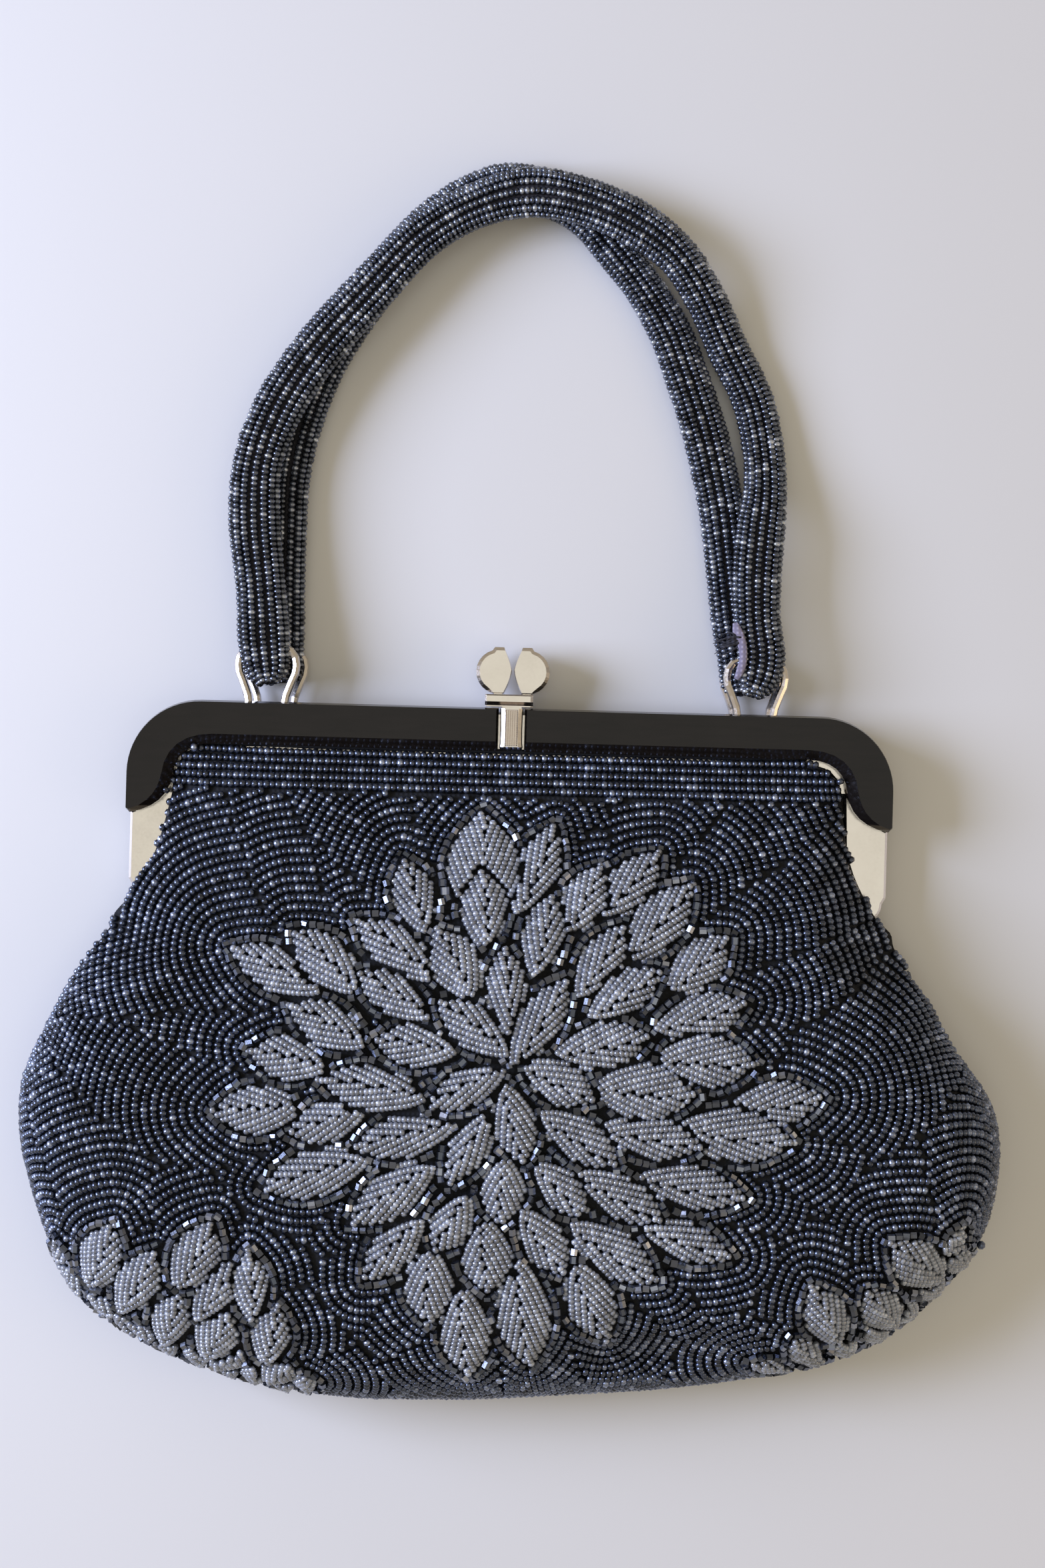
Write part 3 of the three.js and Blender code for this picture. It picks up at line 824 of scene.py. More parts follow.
@dataclass
class Pouch:
    """The soft pouch: a flat-lying bag of cloth that is puffed at the front and rests on its back."""

    # Heights of the meeting of the frame's halves and of the lower seam; then how far the mouth's rims
    # and the edges at the seam are above and below them
    meeting_height: float = 7.6
    seam_height: float = 13.0
    mouth_build: float = 5.25
    seam_half_gap: float = 0.25

    # The mouth, and where the two sides part and the seam starts to climb below it
    mouth_y: float = -10.6
    mouth_left: float = -71.5
    mouth_right: float = 69.0
    parting_y: float = -60.0
    parting_run: float = 14.0
    climb_y: float = -50.0
    climb_run: float = 40.0

    # The front's height over the table, and the ellipse in which the belly adds to it
    crown: float = 31.0
    belly: float = 5.0
    belly_half_x: float = 75.0
    belly_half_y: float = 48.0
    belly_y: float = -92.0

    # How far in from its edges each side gets its full height, how high its dome by the seam is, and
    # how far along the seam from a hinge the cloth is fully rolled under
    front_run: float = 27.0
    front_roll: float = 20.0
    back_run: float = 15.0
    back_roll: float = 12.5
    top_run: float = 52.0
    side_run: float = 20.0
    rear_top_run: float = 18.0
    unrolled_at_hinge: float = 45.0

    # Below hinge_y the beads keep an inset inside the mouth's sides. A bead is by the mouth, and not by
    # the seam, if it is above mouth_end_y and further than mouth_reach from the seam
    hinge_y: float = -34.0
    rim_inset: float = 0.1
    mouth_end_y: float = -38.0
    mouth_reach: float = 3.0

    # How far the cloth lies inside the envelope, and the rings from its edge to its middle
    cloth_depth: float = 1.5
    cloth_thickness: float = 1.0
    cloth_rings: int = 26
    middle: tuple[float, float] = (0.0, -88.0)

    # Steps of the outline's curves and along the top, and how close to the seam the way inward is
    # square to it
    curve_step: float = 3.0
    top_step: float = 4.0
    seam_near: float = 0.3

    # Points of the dome's section, halvings that find a place on it, and the step for directions
    roll_points: int = 240
    halvings: int = 20
    surface_step: float = 0.35

    # Middle x and y, half sizes along x and y, and depth of each soft hollow in the front
    HOLLOWS = (
        (39, -151, 20, 7, 9), (62, -30, 9, 22, 3.5), (-66, -34, 9, 18, 2.5), (-74, -66, 11, 26, 3.2),
    )

    def __post_init__(self) -> None:
        """Runs curves through the points of the mouth's sides and the seam, and joins them up."""
        left = [
            (self.mouth_left, self.mouth_y), (-76.4, -11.7), (-79.0, -15.2), (-80.3, -21.5),
            (-84.8, -37.0), (-89.4, -45.3), (-93.0, -51.5),
        ]
        right = [
            (91.6, -52.0), (88.0, -46.8), (82.2, -35.5), (79.4, -22.5), (78.2, -15.8), (74.6, -12.2),
            (self.mouth_right, self.mouth_y),
        ]
        seam = [
            (-93.0, -51.5), (-99.9, -61.1), (-107.8, -77.3), (-112.6, -90.0), (-112.8, -103.0),
            (-109.5, -116.4), (-104.6, -129.0), (-97.0, -140.5), (-82.0, -150.4), (-62.0, -157.8),
            (-40.0, -162.2), (-10.0, -162.6), (17.0, -160.8), (45.0, -158.2), (70.6, -153.2),
            (90.4, -145.1), (106.0, -131.0), (114.1, -120.1), (117.4, -104.0), (115.6, -90.7),
            (106.4, -76.7), (98.5, -62.5), (91.6, -52.0),
        ]
        self.seam_line = spline(seam, self.curve_step)
        self.left_line = spline(left, self.curve_step)
        self.right_line = spline(right, self.curve_step)
        self.top_line = np.array([[self.mouth_right, self.mouth_y], [self.mouth_left, self.mouth_y]])
        top = resampled(self.top_line, self.top_step)
        lines = (self.seam_line, self.right_line, top, self.left_line)
        self.outline = np.vstack([line[:-1] for line in lines])
        self.seam_count = len(self.seam_line)
        self.seam_length = np.linalg.norm(np.diff(self.seam_line, axis=0), axis=1).sum()

    def hollows(self, plan: Array) -> Array:
        """Soft hollows in the front, each a depth times a bell over its half sizes.

        Args:
            plan: Places seen from above.

        Returns:
            How far the front sinks there.
        """
        sunk = np.zeros(len(plan))
        for x, y, rx, ry, depth in self.HOLLOWS:
            sunk += depth * np.exp(-(((plan[:, 0] - x) / rx) ** 2) - ((plan[:, 1] - y) / ry) ** 2)
        return sunk

    def height(self, plan: Array, side: Side) -> Array:
        """Height of the beads' tops over the table.

        The front rises from its edge to the crown as the product of a dome over the distance from the
        seam and quarter sines over the distances from the mouth's top and sides; the back falls to the
        table likewise.

        Args:
            plan: Places seen from above.
            side: Front or back.

        Returns:
            The height at each place.
        """
        seam = nearest(plan, self.seam_line).gap
        top = nearest(plan, self.top_line).gap
        flank = np.minimum(nearest(plan, self.left_line).gap, nearest(plan, self.right_line).gap)
        below = plan[:, 1] <= self.mouth_y
        opening = smooth((plan[:, 1] - self.parting_y) / self.parting_run)
        climb = smooth((self.climb_y - plan[:, 1]) / self.climb_run)
        meeting = self.meeting_height + (self.seam_height - self.meeting_height) * climb
        rim = self.meeting_height + side.value * self.mouth_build
        edge = meeting + side.value * self.seam_half_gap
        edge = edge + opening * (rim - edge)
        if side is Side.BACK:
            fall = dome(seam / self.back_run) * ease(top / self.rear_top_run)
            return edge * (1.0 - fall * ease(flank / self.rear_top_run) * below)
        x, y = plan.T
        bell = -((x / self.belly_half_x) ** 2) - ((y - self.belly_y) / self.belly_half_y) ** 2
        crown = self.crown + self.belly * np.exp(bell)
        rise = dome(seam / self.front_run) * ease(top / self.top_run) * ease(flank / self.side_run)
        return edge + (crown - self.hollows(plan) - edge) * (rise * below)

    def _roll(self, side: Side) -> tuple[float, Array, Array]:
        """Measures the dome's section by the seam.

        Args:
            side: Front or back.

        Returns:
            Its run, places along that, and the lengths along the cloth to them.
        """
        front = side is Side.FRONT
        run, rise = (self.front_run, self.front_roll) if front else (self.back_run, self.back_roll)
        turn = np.linspace(0.0, np.pi / 2.0, self.roll_points)
        plan = run * (1.0 - np.cos(turn))
        steps = np.hypot(np.diff(plan), np.diff(rise * np.sin(turn)))
        return run, plan, np.concatenate([[0.0], np.cumsum(steps)])

    def _rolled(self, reach: Array) -> Array:
        """How fully the cloth rolls under along the seam: not at all at a hinge, fully some way on."""
        return smooth(np.minimum(reach, self.seam_length - reach) / self.unrolled_at_hinge)

    def plan_of(self, flat: Array, side: Side) -> Array:
        """Carries places on the unrolled cloth to the plan.

        Near the seam, a length along the cloth becomes the shorter one that is seen from above,
        measured square to the seam. Elsewhere both are the same. The shorter length is found by halving
        an interval.

        Args:
            flat: Places on the unrolled cloth.
            side: Front or back.

        Returns:
            The places seen from above.
        """
        run, across, lengths = self._roll(side)
        found = nearest(flat, self.seam_line)
        within = np.where(inside(flat, self.outline), 1.0, -1.0)
        wanted = found.gap * within
        share = self._rolled(found.reach)
        low, high = np.zeros(len(flat)), np.full(len(flat), run)
        for _ in range(self.halvings):
            middle = (low + high) / 2.0
            unrolled = np.interp(middle, across, lengths) - lengths[-1] + run
            short = middle + share * (unrolled - middle) < wanted
            low, high = np.where(short, middle, low), np.where(short, high, middle)
        away = unit(flat - found.place) * within[:, None]
        inward = np.where((found.gap < self.seam_near)[:, None], found.left, away)
        return np.where((wanted < run)[:, None], found.place + inward * low[:, None], flat)

    def flat_of(self, plan: Array, side: Side) -> Array:
        """Carries places seen from above to the unrolled cloth, the other way from plan_of.

        Args:
            plan: Places seen from above.
            side: Front or back.

        Returns:
            The places on the unrolled cloth.
        """
        run, across, lengths = self._roll(side)
        found = nearest(plan, self.seam_line)
        unrolled = np.interp(found.gap, across, lengths) - lengths[-1] + run
        reach = found.gap + self._rolled(found.reach) * (unrolled - found.gap)
        away = unit(plan - found.place)
        inward = np.where((found.gap < self.seam_near)[:, None], found.left, away)
        return np.where((found.gap < run)[:, None], found.place + inward * reach[:, None], plan)

    def covers(self, flat: Array, side: Side, margin: float = -0.5) -> Array:
        """Says which places of the unrolled cloth are on this side of the bag.

        Those inside the outline are, and so are those outside it that the seam rolls under.

        Args:
            flat: Places on the unrolled cloth.
            side: Front or back.
            margin: How far inside the mouth's sides a place has to be. Below zero it may be outside them.

        Returns:
            True for each place on this side.
        """
        run, _, lengths = self._roll(side)
        found = nearest(flat, self.seam_line)
        within = inside(flat, self.outline)
        spare = (lengths[-1] - run) * self._rolled(found.reach) - self.rim_inset
        rim = np.minimum(nearest(flat, self.left_line).gap, nearest(flat, self.right_line).gap)
        least = np.where(flat[:, 1] > self.hinge_y, margin, max(margin, self.rim_inset))
        return (np.where(within, rim, -rim) > least) | (~within & (found.gap < spare))

    def run_of(self, flat: Array, heading: Array, side: Side, sunk: float) -> BeadRun:
        """Stands beads on the cloth.

        Two short steps on the unrolled cloth, carried to the surface, give its directions; their cross
        product is the way out, and the heading's cosine and sine of them is the way along the row.

        Args:
            flat: Places on the unrolled cloth.
            heading: The row's direction there, as an angle.
            side: Front or back.
            sunk: How far the middles lie under the envelope.

        Returns:
            The beads' places and directions.
        """
        step = self.surface_step

        def lifted(places: Array) -> Array:
            """Carries places of the unrolled cloth to the surface."""
            plan = self.plan_of(places, side)
            return np.column_stack([plan, self.height(plan, side)])

        middle = lifted(flat)
        across = lifted(flat + (step, 0.0)) - lifted(flat - (step, 0.0))
        up = lifted(flat + (0.0, step)) - lifted(flat - (0.0, step))
        outward = unit(np.cross(across, up)) * side.value
        along = unit(across * np.cos(heading)[:, None] + up * np.sin(heading)[:, None])
        return BeadRun(middle - outward * sunk, along, outward)

    def trimmed(self, run: BeadRun, least: float = 0.35) -> BeadRun:
        """Leaves out the beads that would stand off the seam; those by the mouth all stay.

        Args:
            run: The beads.
            least: How far inside the seam a bead's middle lies at least, seen from above.

        Returns:
            The others.
        """
        plan = run.middles[:, :2]
        gap = nearest(plan, self.seam_line).gap
        within = np.where(inside(plan, self.outline), gap, -gap)
        by_mouth = (gap > self.mouth_reach) & (plan[:, 1] > self.mouth_end_y)
        return run.chosen((within > least) | by_mouth)

    def cloth(self, material: bpy.types.Material) -> bpy.types.Object:
        """Makes the pouch's cloth, hollow, with a thickness and open at the mouth.

        Rings shrink from the outline to the middle as the sine of equal steps. Each of the four skins
        is the envelope moved inwards along its own normal, and the skins join at the seam and round the
        mouth's rim.

        Args:
            material: Its finish.

        Returns:
            A closed surface.
        """
        rings = self.cloth_rings
        share = np.sin(np.linspace(0.0, np.pi / 2.0, rings + 1))[1:]
        middle = np.array(self.middle)
        plan = middle + (self.outline[None] - middle) * share[:, None, None]
        columns = len(self.outline)
        skins = []
        for depth in (self.cloth_depth, self.cloth_depth + self.cloth_thickness):
            for side in (Side.FRONT, Side.BACK):
                z = self.height(plan.reshape(-1, 2), side).reshape(rings, columns)
                grid = np.dstack([plan, z])
                outwards = np.gradient(grid, axis=0)
                around = np.roll(grid, -1, axis=1) - np.roll(grid, 1, axis=1)
                normal = unit(np.cross(outwards, around)) * side.value
                moved = grid - normal * depth
                tip = np.append(middle, moved[0, :, 2].mean())
                skins.append(np.vstack([moved.reshape(-1, 3), tip]))
        points = np.vstack(skins)
        size = rings * columns + 1
        here = np.arange(columns)
        following = (here + 1) % columns
        ring = np.arange(rings - 1)[:, None] * columns
        wider = ring + columns
        net = np.stack([ring + here, wider + here, wider + following, ring + following], axis=2)
        fan = np.stack([np.full(columns, size - 1), here, following], axis=1)
        quads, fans = [], []
        for k, flip in enumerate((False, True, True, False)):
            turned = net.reshape(-1, 4) + size * k
            wedge = fan + size * k
            quads.append(turned[:, ::-1] if flip else turned)
            fans.append(wedge[:, ::-1] if flip else wedge)
        edge = (rings - 1) * columns
        front, back, front_in, back_in = (edge + size * k for k in range(4))
        sewn = here < self.seam_count - 1
        seam, rim = here[sewn], here[~sewn]
        after, beyond = following[sewn], following[~sewn]
        for four in (
            (front + seam, back + seam, back + after, front + after),
            (front_in + after, back_in + after, back_in + seam, front_in + seam),
            (front + rim, front_in + rim, front_in + beyond, front + beyond),
            (back + beyond, back_in + beyond, back_in + rim, back + rim),
        ):
            quads.append(np.stack(four, axis=1))
        first, second = 0, self.seam_count - 1
        quads.append(np.array([[front + first, front_in + first, back_in + first, back + first]]))
        quads.append(np.array([[back + second, back_in + second, front_in + second, front + second]]))
        faces = listed(np.concatenate(quads), np.concatenate(fans))
        return mesh_piece("pouch_cloth", points, *faces, material)


def spaced(new: Array, old: Array, row_gap: float, bead_gap: float, spare: float = 4.0) -> Array:
    """Says which new places are clear of the old ones and of one another.

    Args:
        new: Places of one row, in order.
        old: Places that are taken.
        row_gap: Least distance from an old place.
        bead_gap: Least distance from an earlier place of the same row.
        spare: How far past the row's own width old places are looked at.

    Returns:
        True for each place that can be used.
    """
    free = np.ones(len(new), bool)
    if len(old):
        near = old[np.abs(old[:, 0] - new[:, 0].mean()) < np.ptp(new[:, 0]) + spare]
        if len(near):
            apart = ((new[:, None] - near[None]) ** 2).sum(axis=2).min(axis=1)
            free &= apart > row_gap**2
    kept = np.flatnonzero(free)
    among = ((new[kept][:, None] - new[kept][None]) ** 2).sum(axis=2)
    clash = np.tril(among < bead_gap**2, -1)
    taken = np.ones(len(kept), bool)
    for i in np.flatnonzero(clash.any(axis=1)):
        taken[i] = not (clash[i] & taken).any()
    free[kept[~taken]] = False
    return free


@dataclass
class DistanceField:
    """How far every place of a sheet is from the petals, on a fine grid."""

    low: tuple[float, float] = (-136.0, -186.0)
    high: tuple[float, float] = (141.0, -8.0)
    cell: float = 0.5

    # More cells than the grid has, for a column that no petal covers
    far: int = 9999

    def fill(self, covered: Callable[[Array], Array]) -> None:
        """Measures the grid.

        First each column's distance to its nearest covered cell, then for each column the least root of
        the squares of that and of the distance across to any other column.

        Args:
            covered: A function that says which of an array of places are covered.
        """
        self.xs = np.arange(self.low[0], self.high[0], self.cell)
        self.ys = np.arange(self.low[1], self.high[1], self.cell)
        x, y = np.meshgrid(self.xs, self.ys)
        mask = covered(np.column_stack([x.ravel(), y.ravel()])).reshape(x.shape)
        rows = np.arange(len(self.ys))[:, None]
        below = np.maximum.accumulate(np.where(mask, rows, -self.far), axis=0)
        above = np.minimum.accumulate(np.where(mask, rows, self.far)[::-1], axis=0)[::-1]
        square = (np.minimum(rows - below, above - rows) * self.cell).astype(float) ** 2
        across = (self.xs - self.low[0]) ** 2
        columns = np.arange(len(self.xs))
        least = [(square + across[np.abs(columns - k)]).min(axis=1) for k in columns]
        self.grid = np.sqrt(np.stack(least, axis=1))

    def at(self, points: Array) -> Array:
        """Reads the grid between its places.

        Args:
            points: Places on the sheet.

        Returns:
            The distance there.
        """
        u = ((points[:, 0] - self.low[0]) / self.cell).clip(0, len(self.xs) - 1.001)
        v = ((points[:, 1] - self.low[1]) / self.cell).clip(0, len(self.ys) - 1.001)
        i, j = u.astype(int), v.astype(int)
        fu, fv = u - i, v - j
        lower = self.grid[j, i] * (1 - fu) + self.grid[j, i + 1] * fu
        upper = self.grid[j + 1, i] * (1 - fu) + self.grid[j + 1, i + 1] * fu
        return lower * (1 - fv) + upper * fv


@dataclass
class Petals:
    """Leaf-shaped petals, each given by its base, its tip and its width on the unrolled cloth."""

    base: Array
    tip: Array
    width: Array

    # Steps between the strings and between the beads of a string
    string_gap: float = 1.428
    pitch: float = 1.08

    # How far the middle string is moved inwards, how far inside the edge the beads stay, and how far
    # over the middle line they may reach
    margin: float = 0.5
    outer_margin: float = 0.38
    overlap: float = 0.4

    # Least distances to a bead of another string and to one of the same string
    clear_gap: float = 1.0
    clear_pitch: float = 0.9

    # Points along each half of an outline and round each of its ends, and the share of a step that
    # is left open where a line round a petal closes
    edge_points: int = 26
    turn_points: int = 14
    closing: float = 0.6

    # The power of the sine in a petal's outline at its base, and what is added to it at the tip
    base_power: float = 0.5
    tip_power: float = 0.45

    # The middle string reaches the half width at this share of the length, along a curve of this power
    vein_share: float = 0.55
    vein_power: float = 0.6
    vein_ends: tuple[float, float] = (0.01, 0.99)
    vein_points: int = 160

    # Strings on either side of the middle one, and the share of a gap by which each half is moved
    most_strings: int = 9
    string_shift: float = 0.25

    # Near the ends the padding is as wide as this at least
    least_half: float = 0.6

    def __post_init__(self) -> None:
        """Works out each petal's axis, length and side."""
        self.axis = unit(self.tip - self.base)
        self.length = np.linalg.norm(self.tip - self.base, axis=1)
        self.side = np.stack([-self.axis[:, 1], self.axis[:, 0]], axis=1)

    def half_width(self, share: Array, k: int) -> Array:
        """Half the width of petal k: a sine from the base to the tip, which is the more pointed end."""
        held = np.clip(share, 0.0, 1.0)
        power = self.base_power + self.tip_power * held
        return 0.5 * self.width[k] * np.sin(np.pi * held) ** power

    def within(self, points: Array, k: int, margin: float = 0.0) -> Array:
        """Says which places petal k covers, and a margin round it.

        Args:
            points: Places on the unrolled cloth.
            k: The petal.
            margin: How far round it.

        Returns:
            True for each place that it covers.
        """
        local = points - self.base[k]
        ahead = local @ self.axis[k]
        share = (ahead + margin) / (self.length[k] + 2.0 * margin)
        beside = np.abs(local @ self.side[k])
        return (share > 0.0) & (share < 1.0) & (beside < self.half_width(share, k) + margin)

    def covered(self, points: Array) -> Array:
        """Says which places any petal covers.

        Args:
            points: Places on the unrolled cloth.

        Returns:
            True for each place that is covered.
        """
        found = np.zeros(len(points), bool)
        for k in range(len(self.base)):
            found |= self.within(points, k)
        return found

    def ring(self, k: int, distance: float, pitch: float) -> tuple[Array, Array]:
        """A line round petal k at a distance, rounded about both of its ends.

        Args:
            k: The petal.
            distance: How far out the line runs.
            pitch: Step between the places on it.

        Returns:
            The places, and the line's direction at each as an angle.
        """
        half_count, count = self.edge_points, self.turn_points
        share = np.linspace(0.0, 1.0, half_count)
        half = self.half_width(share, k)
        ahead = share * self.length[k]
        right = np.stack([ahead, half], axis=1)
        left = np.stack([ahead[::-1], -half[::-1]], axis=1)
        run = np.gradient(right, axis=0)
        out = unit(np.stack([-run[:, 1], run[:, 0]], axis=1))
        normals = np.vstack([out, (out * (1.0, -1.0))[::-1]])
        angles = np.unwrap(np.arctan2(normals[:, 1], normals[:, 0]))
        at_tip = np.linspace(angles[half_count - 1], angles[half_count], count)
        closing = angles[-1] + (angles[0] - angles[-1] + np.pi) % (2.0 * np.pi) - np.pi
        at_base = np.linspace(angles[-1], min(closing, angles[-1]), count)
        angles = np.concatenate([angles[:half_count], at_tip, angles[half_count:], at_base])
        tip, base = (np.repeat(half_edge[-1:], count, axis=0) for half_edge in (right, left))
        edge = np.vstack([right, tip, left, base])
        line = edge + distance * np.stack([np.cos(angles), np.sin(angles)], axis=1)
        lengths = lengths_of(line)
        wanted = np.arange(0.0, lengths[-1] - self.closing * pitch, pitch)
        places = read_at(wanted, lengths, line)
        facing = np.interp(wanted, lengths, angles)
        lean = math.atan2(self.axis[k, 1], self.axis[k, 0])
        turned = self.base[k] + places[:, 0:1] * self.axis[k] + places[:, 1:2] * self.side[k]
        return turned, facing + lean + np.pi / 2.0

    def strings(self, k: int) -> tuple[Array, Array]:
        """Strings of beads in petal k, laid like the veins of a leaf.

        Strings leave the middle line at a slant and bend towards the tip: their distance from the
        middle line grows as a power of the share of the length, less a whole number of gaps, and each
        is cut where it meets the middle or the edge. The two halves are half a gap apart.

        Args:
            k: The petal.

        Returns:
            The beads' places on the unrolled cloth, and their headings as angles.
        """
        places, headings = np.empty((0, 2)), np.empty(0)
        fine = np.linspace(*self.vein_ends, self.vein_points)
        vein = 0.5 * self.width[k] * (fine / self.vein_share) ** self.vein_power - self.margin
        numbers = np.arange(-self.most_strings, self.most_strings + 1)
        lean = math.atan2(self.axis[k, 1], self.axis[k, 0])
        for way in (1.0, -1.0):
            for shift in (numbers + self.string_shift * way) * self.string_gap:
                line = resampled(np.column_stack([fine * self.length[k], vein + shift]), self.pitch)
                run = np.gradient(line, axis=0)
                limit = self.half_width(line[:, 0] / self.length[k], k) - self.outer_margin
                kept = (line[:, 1] > -self.overlap) & (line[:, 1] < limit)
                if not kept.any():
                    continue
                ahead, side = line[kept, 0:1], line[kept, 1:2] * way
                beads = self.base[k] + ahead * self.axis[k] + side * self.side[k]
                free = spaced(beads, places, self.clear_gap, self.clear_pitch)
                places = np.vstack([places, beads[free]])
                heading = lean + way * np.arctan2(run[kept, 1], run[kept, 0])
                headings = np.concatenate([headings, heading[free]])
        return places, headings

    def lift(self, points: Array, k: int) -> Array:
        """How far petal k is padded up: one less the square of the share of the half width reached.

        Args:
            points: Places on the unrolled cloth.
            k: The petal.

        Returns:
            The padding's height as a share of its most.
        """
        local = points - self.base[k]
        share = (local @ self.axis[k]) / self.length[k]
        half = np.maximum(self.half_width(share, k), self.least_half)
        return 1.0 - np.clip(np.abs(local @ self.side[k]) / half, 0.0, 1.0) ** 2


@dataclass
class Embroidery:
    """All the beads of the pouch: petals, the cut beads round them, and rows that echo their outlines."""

    pouch: Pouch
    finishes: Finishes
    random: np.random.Generator

    # The one bead that each kind is copied from
    pearl: BeadForm = BeadForm(1.14, 0.92, 6, neck=0.7)
    cut: BeadForm = BeadForm(1.5, 0.86, 6, bulges=False, dimple=0.3)
    seed: BeadForm = BeadForm(1.3, 1.04, 8, neck=0.7)
    back_seed: BeadForm = BeadForm(1.3, 1.04, 4, neck=0.7)

    # How far under the envelope the middles of each kind lie, and how high the petals are padded
    bead_sunk: float = 0.95
    back_sunk: float = 1.2
    cut_sunk: float = -0.1
    padding: float = 1.5

    # Steps along and between the rows of seed beads
    seed_pitch: float = 1.42
    row_gap: float = 2.14
    first_row: float = 2.85
    most_rows: int = 70

    # Least distances to a bead of another row and of the same row, and how many of the last beads a
    # row of seed beads is checked against
    cut_clear: tuple[float, float] = (1.5, 1.6)
    seed_clear: tuple[float, float] = (1.62, 1.2)
    checked: int = 2600

    # How much nearer to a petal than its own line a bead may be
    cut_slack: float = 0.42
    seed_slack: float = 0.38

    # How far round an inner petal the outer ones' beads are left out, how far inside the seam the
    # middles of petal and cut beads are at least, and how far inside the mouth's sides the back's are
    petal_clear: float = 0.5
    petal_least: float = -0.8
    cut_least: float = 0.1
    back_margin: float = 0.6

    # How far below the last straight row the curved ones start, and the same for the cut beads, as a
    # share of the gap between straight rows
    band_clear: float = 1.3
    band_share: float = 0.6

    # How much the holes lean, as a slope, and how much the sizes differ
    pearl_uneven: tuple[float, float] = (0.05, 0.04)
    cut_uneven: tuple[float, float] = (0.2, 0.06)

    # Ends of the straight rows at the front, and of the rows at the back with the lowest one's y
    band_ends: tuple[float, float] = (-82.0, 82.0)
    back_ends: tuple[float, float] = (-132.0, 134.0)
    back_low: float = -182.0

    # The straight rows under the frame
    band_rows: int = 5
    band_top: float = -11.25
    band_gap: float = 1.95

    # Cut beads stand in one line round each petal, and in a second one near the flower's middle
    cut_pitch: float = 1.8
    cut_lines: tuple[float, float] = (0.95, 2.7)
    crowd_middle: tuple[float, float] = (1.0, -82.0)
    crowd_reach: float = 30.0

    # Where the inner petals start from, and how far the flower reaches
    flower_middle: tuple[float, float] = (1.0, -80.0)
    flower_centre: tuple[float, float] = (0.0, -85.0)
    flower_reach: float = 72.0

    # The petals are strung a little wider than the widths in the tables
    width_share: float = 1.12
    width_added: float = 0.6

    # Base x, base y, tip x, tip y and width of each petal, seen from above
    FLOWER = (
        (-41.8, -65.7, -62.7, -56.6, 8.7), (-33.1, -65.5, -48.3, -52.0, 9.6),
        (-15.8, -62.1, -34.4, -49.4, 9.0), (-18.1, -51.7, -24.2, -35.4, 8.7),
        (-5.2, -50.2, -5.9, -23.9, 15.1), (-4.6, -55.0, -5.5, -37.2, 9.6),
        (-6.7, -66.3, -15.7, -51.1, 10.2), (1.7, -75.7, -0.2, -54.0, 8.6),
        (-16.7, -70.7, -33.6, -61.1, 8.1), (-31.2, -77.5, -48.8, -68.8, 9.0),
        (1.3, -78.5, -15.2, -66.9, 8.7), (-10.6, -78.3, -29.4, -76.5, 8.6),
        (-39.7, -82.8, -57.7, -79.5, 9.0), (2.7, -47.3, 11.1, -26.6, 9.3),
        (13.8, -51.2, 21.8, -35.8, 9.0), (7.0, -60.9, 10.4, -42.3, 8.7),
        (21.7, -47.4, 35.2, -32.6, 9.0), (27.4, -57.2, 42.6, -39.3, 9.9),
        (17.1, -65.4, 27.2, -48.8, 8.7), (37.5, -63.4, 51.2, -51.0, 9.3),
        (19.8, -69.9, 35.9, -58.5, 8.4), (34.8, -72.5, 55.7, -65.9, 9.3),
        (12.5, -78.5, 33.9, -74.0, 9.3), (2.6, -80.8, 14.6, -61.0, 8.7),
        (35.4, -78.7, 58.0, -79.8, 10.8), (4.9, -81.1, 21.8, -88.7, 8.7),
        (21.4, -85.5, 44.5, -87.3, 11.4), (-17.2, -89.1, -41.6, -85.4, 9.1),
        (0.5, -82.1, -16.7, -91.2, 7.8), (-45.8, -92.5, -65.3, -93.8, 10.0),
        (-30.7, -92.1, -47.9, -98.3, 8.4), (-10.6, -95.1, -33.4, -100.9, 8.7),
        (-1.4, -90.9, -11.9, -108.9, 7.8), (0.8, -85.8, 5.9, -103.6, 8.7),
        (9.2, -91.9, 27.2, -103.3, 8.7), (22.9, -94.8, 46.5, -98.7, 8.7),
        (40.4, -94.3, 67.0, -97.5, 10.9), (51.6, -90.3, 73.4, -86.9, 9.4),
        (32.0, -105.9, 56.5, -110.0, 8.7), (18.1, -105.4, 37.8, -115.8, 8.7),
        (8.2, -103.5, 20.6, -114.8, 8.1), (1.1, -102.2, 1.0, -117.4, 9.4),
        (-14.9, -104.3, -33.6, -118.4, 9.4), (-29.8, -103.3, -53.8, -110.9, 9.7),
        (-17.2, -116.7, -30.1, -131.3, 8.4), (-6.8, -110.7, -14.0, -124.5, 8.4),
        (-2.8, -116.6, -1.5, -133.5, 10.6), (5.3, -114.2, 16.1, -128.5, 8.7),
        (16.6, -117.0, 37.1, -129.9, 9.4), (31.8, -116.6, 53.7, -123.8, 7.8),
        (-15.1, -123.5, -15.1, -140.8, 10.0), (-7.6, -132.2, -5.5, -153.5, 10.6),
        (4.9, -125.5, 8.3, -151.0, 11.2), (17.7, -125.9, 25.9, -144.2, 10.0),
    )
